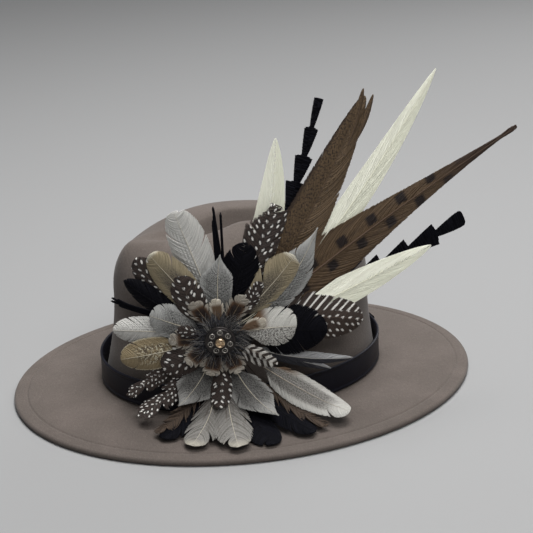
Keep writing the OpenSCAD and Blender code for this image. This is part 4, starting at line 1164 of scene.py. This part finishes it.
# ------------------------------------------------------------------ brown fluff and slate blades
# Loose brown fluff hangs below the petals, and two slim slate feathers point down to the
# back. All four are sewn in before the petals that cover their feet.
brown_soft = VaneFinish("brown_fluff", (0.060, 0.040, 0.027), (0.022, 0.015, 0.011), 0.7)
brown_soft.line_quill((0.05, 0.035, 0.025))
plume("brown_fluff_low", "brown_fluff", brown_soft,
      [(3, (-4, -9), (-16, -50), (-34, -80), 12, 0.3, 0.6, 0.4),
       (3, (6, -8), (32, -46), (56, -84), 12, 0.4, 0.6, 0.4)],
      pinch=0.8, fray=0.6, ruffle=2.0, groups=6, seed=35)
slate = VaneFinish("slate_vane", (0.25, 0.25, 0.25), (0.12, 0.12, 0.125), 0.6)
slate.coat(slate.lower(0.5), (0.035, 0.035, 0.042))
slate.line_quill((0.30, 0.29, 0.27))
plume("slim_blades_right", "slate_vane", slate,
      [(3, (9, -5), (40, -20), (75, -37), 9, 0.2, 0.5, 0.7),
       (4, (9, -6), (50, -26), (92, -32), 9, 0.3, 0.5, 0.7)], seed=36)

# ------------------------------------------------------------------ ring round the button
# Short feathers stand round the button: brown ones with a dark blotch and a cream rim, small
# spotted ones, curls striped white and dark, and a few tufts of cream fluff.
EYE_ROOT, EYE_MIDDLE = 6, 18
eyes = []
for bearing, eye_tip in ((122, 30), (62, 33), (184, 31), (222, 27), (256, 27), (292, 27)):
    aim = np.array([math.cos(math.radians(bearing)), math.sin(math.radians(bearing))])
    eyes.append((11, aim * EYE_ROOT, aim * EYE_MIDDLE, aim * eye_tip, 15, 0.2, 0.6, 0.5))
eye = VaneFinish("eye_vane", (0.36, 0.33, 0.28), (0.20, 0.18, 0.15), 0.8)
eye_field = eye.both(eye.step(eye.reach, 0.78, 0.5), eye.step(eye.up, 0.87, 0.74))
eye.coat(eye_field, (0.085, 0.046, 0.024))
eye.coat(eye.both(eye.step(eye.reach, 0.62, 0.3), eye.step(eye.up, 0.80, 0.66)), (0.016, 0.010, 0.008))
eye.line_quill((0.22, 0.16, 0.10))
ring_look = dict(pitch=0.42, sweep=9, camber=1.2, rise=2.5, pinch=0.3, fray=0.3, ruffle=0.5, quill=0.25)
plume("eye_feathers", "eye_vane", eye, eyes, seed=37, **ring_look)
plume("small_guinea_feathers", "guinea_vane", fine_guinea,
      [(10, (6, 6), (18, 20), (26, 37), 11, 0.2, 0.6, 0.4),
       (12, (-8, 2), (-16, 4), (-25, 6), 9, 0.2, 0.6, 0.4)], seed=38, **ring_look)
striped = VaneFinish("striped_vane", (0.50, 0.48, 0.44), (0.36, 0.34, 0.31), 0.5)
striped.coat(striped.bars(4.5, 0.5, 0.2), (0.030, 0.022, 0.018))
striped.line_quill((0.20, 0.16, 0.12))
plume("striped_curls", "striped_vane", striped,
      [(10, (7, -7), (18, -14), (34, -22), 11, 0.2, 0.6, 0.5),
       (12, (8, -5), (18, -8), (28, -16), 8, 0.2, 0.6, 0.5)], seed=39, **ring_look)
cream_soft = VaneFinish("cream_fluff", (0.55, 0.50, 0.42), (0.38, 0.34, 0.27), 0.6)
soft_middle = cream_soft.both(cream_soft.step(cream_soft.reach, 0.85, 0.5),
                              cream_soft.step(cream_soft.up, 0.85, 0.7))
cream_soft.coat(soft_middle, (0.12, 0.075, 0.045))
cream_soft.line_quill((0.12, 0.08, 0.05))
plume("cream_fluff", "cream_fluff", cream_soft,
      [(12, (0, 8), (-1, 18), (-2, 28), 9, 0.2, 0.6, 0.4),
       (12, (8, 2), (18, 8), (28, 10), 9, 0.2, 0.6, 0.4)], seed=40, **ring_look)

# ------------------------------------------------------------------ black wisps
# Bare black quills stand in two sprays behind the petals, one up and one to the front, each
# with only a few short barbs left on it.
WISPS_IN_SPRAY = 5
luck = np.random.default_rng(44)
spray = []
for i in range(WISPS_IN_SPRAY):
    lean = luck.uniform(-1, 1, 3)
    spray.append((3, (2 + i, 10), (i + 2 * lean[0], 50), (4 * lean[1], 80 + 8 * lean[2]),
                  1.1, 0.3, 0.5, 0.9))
    lean = luck.uniform(-1, 1, 3)
    spray.append((3, (-9, 4 + i), (-45, 10 + i + lean[0]), (5 * lean[1] - 80, 12 + 4 * lean[2]),
                  1.0, 0.4, 0.5, 0.9))
plume("black_wisps", "black_vane", black, spray, pitch=1.2, sweep=10, camber=0.3, quill=0.28, seed=41)
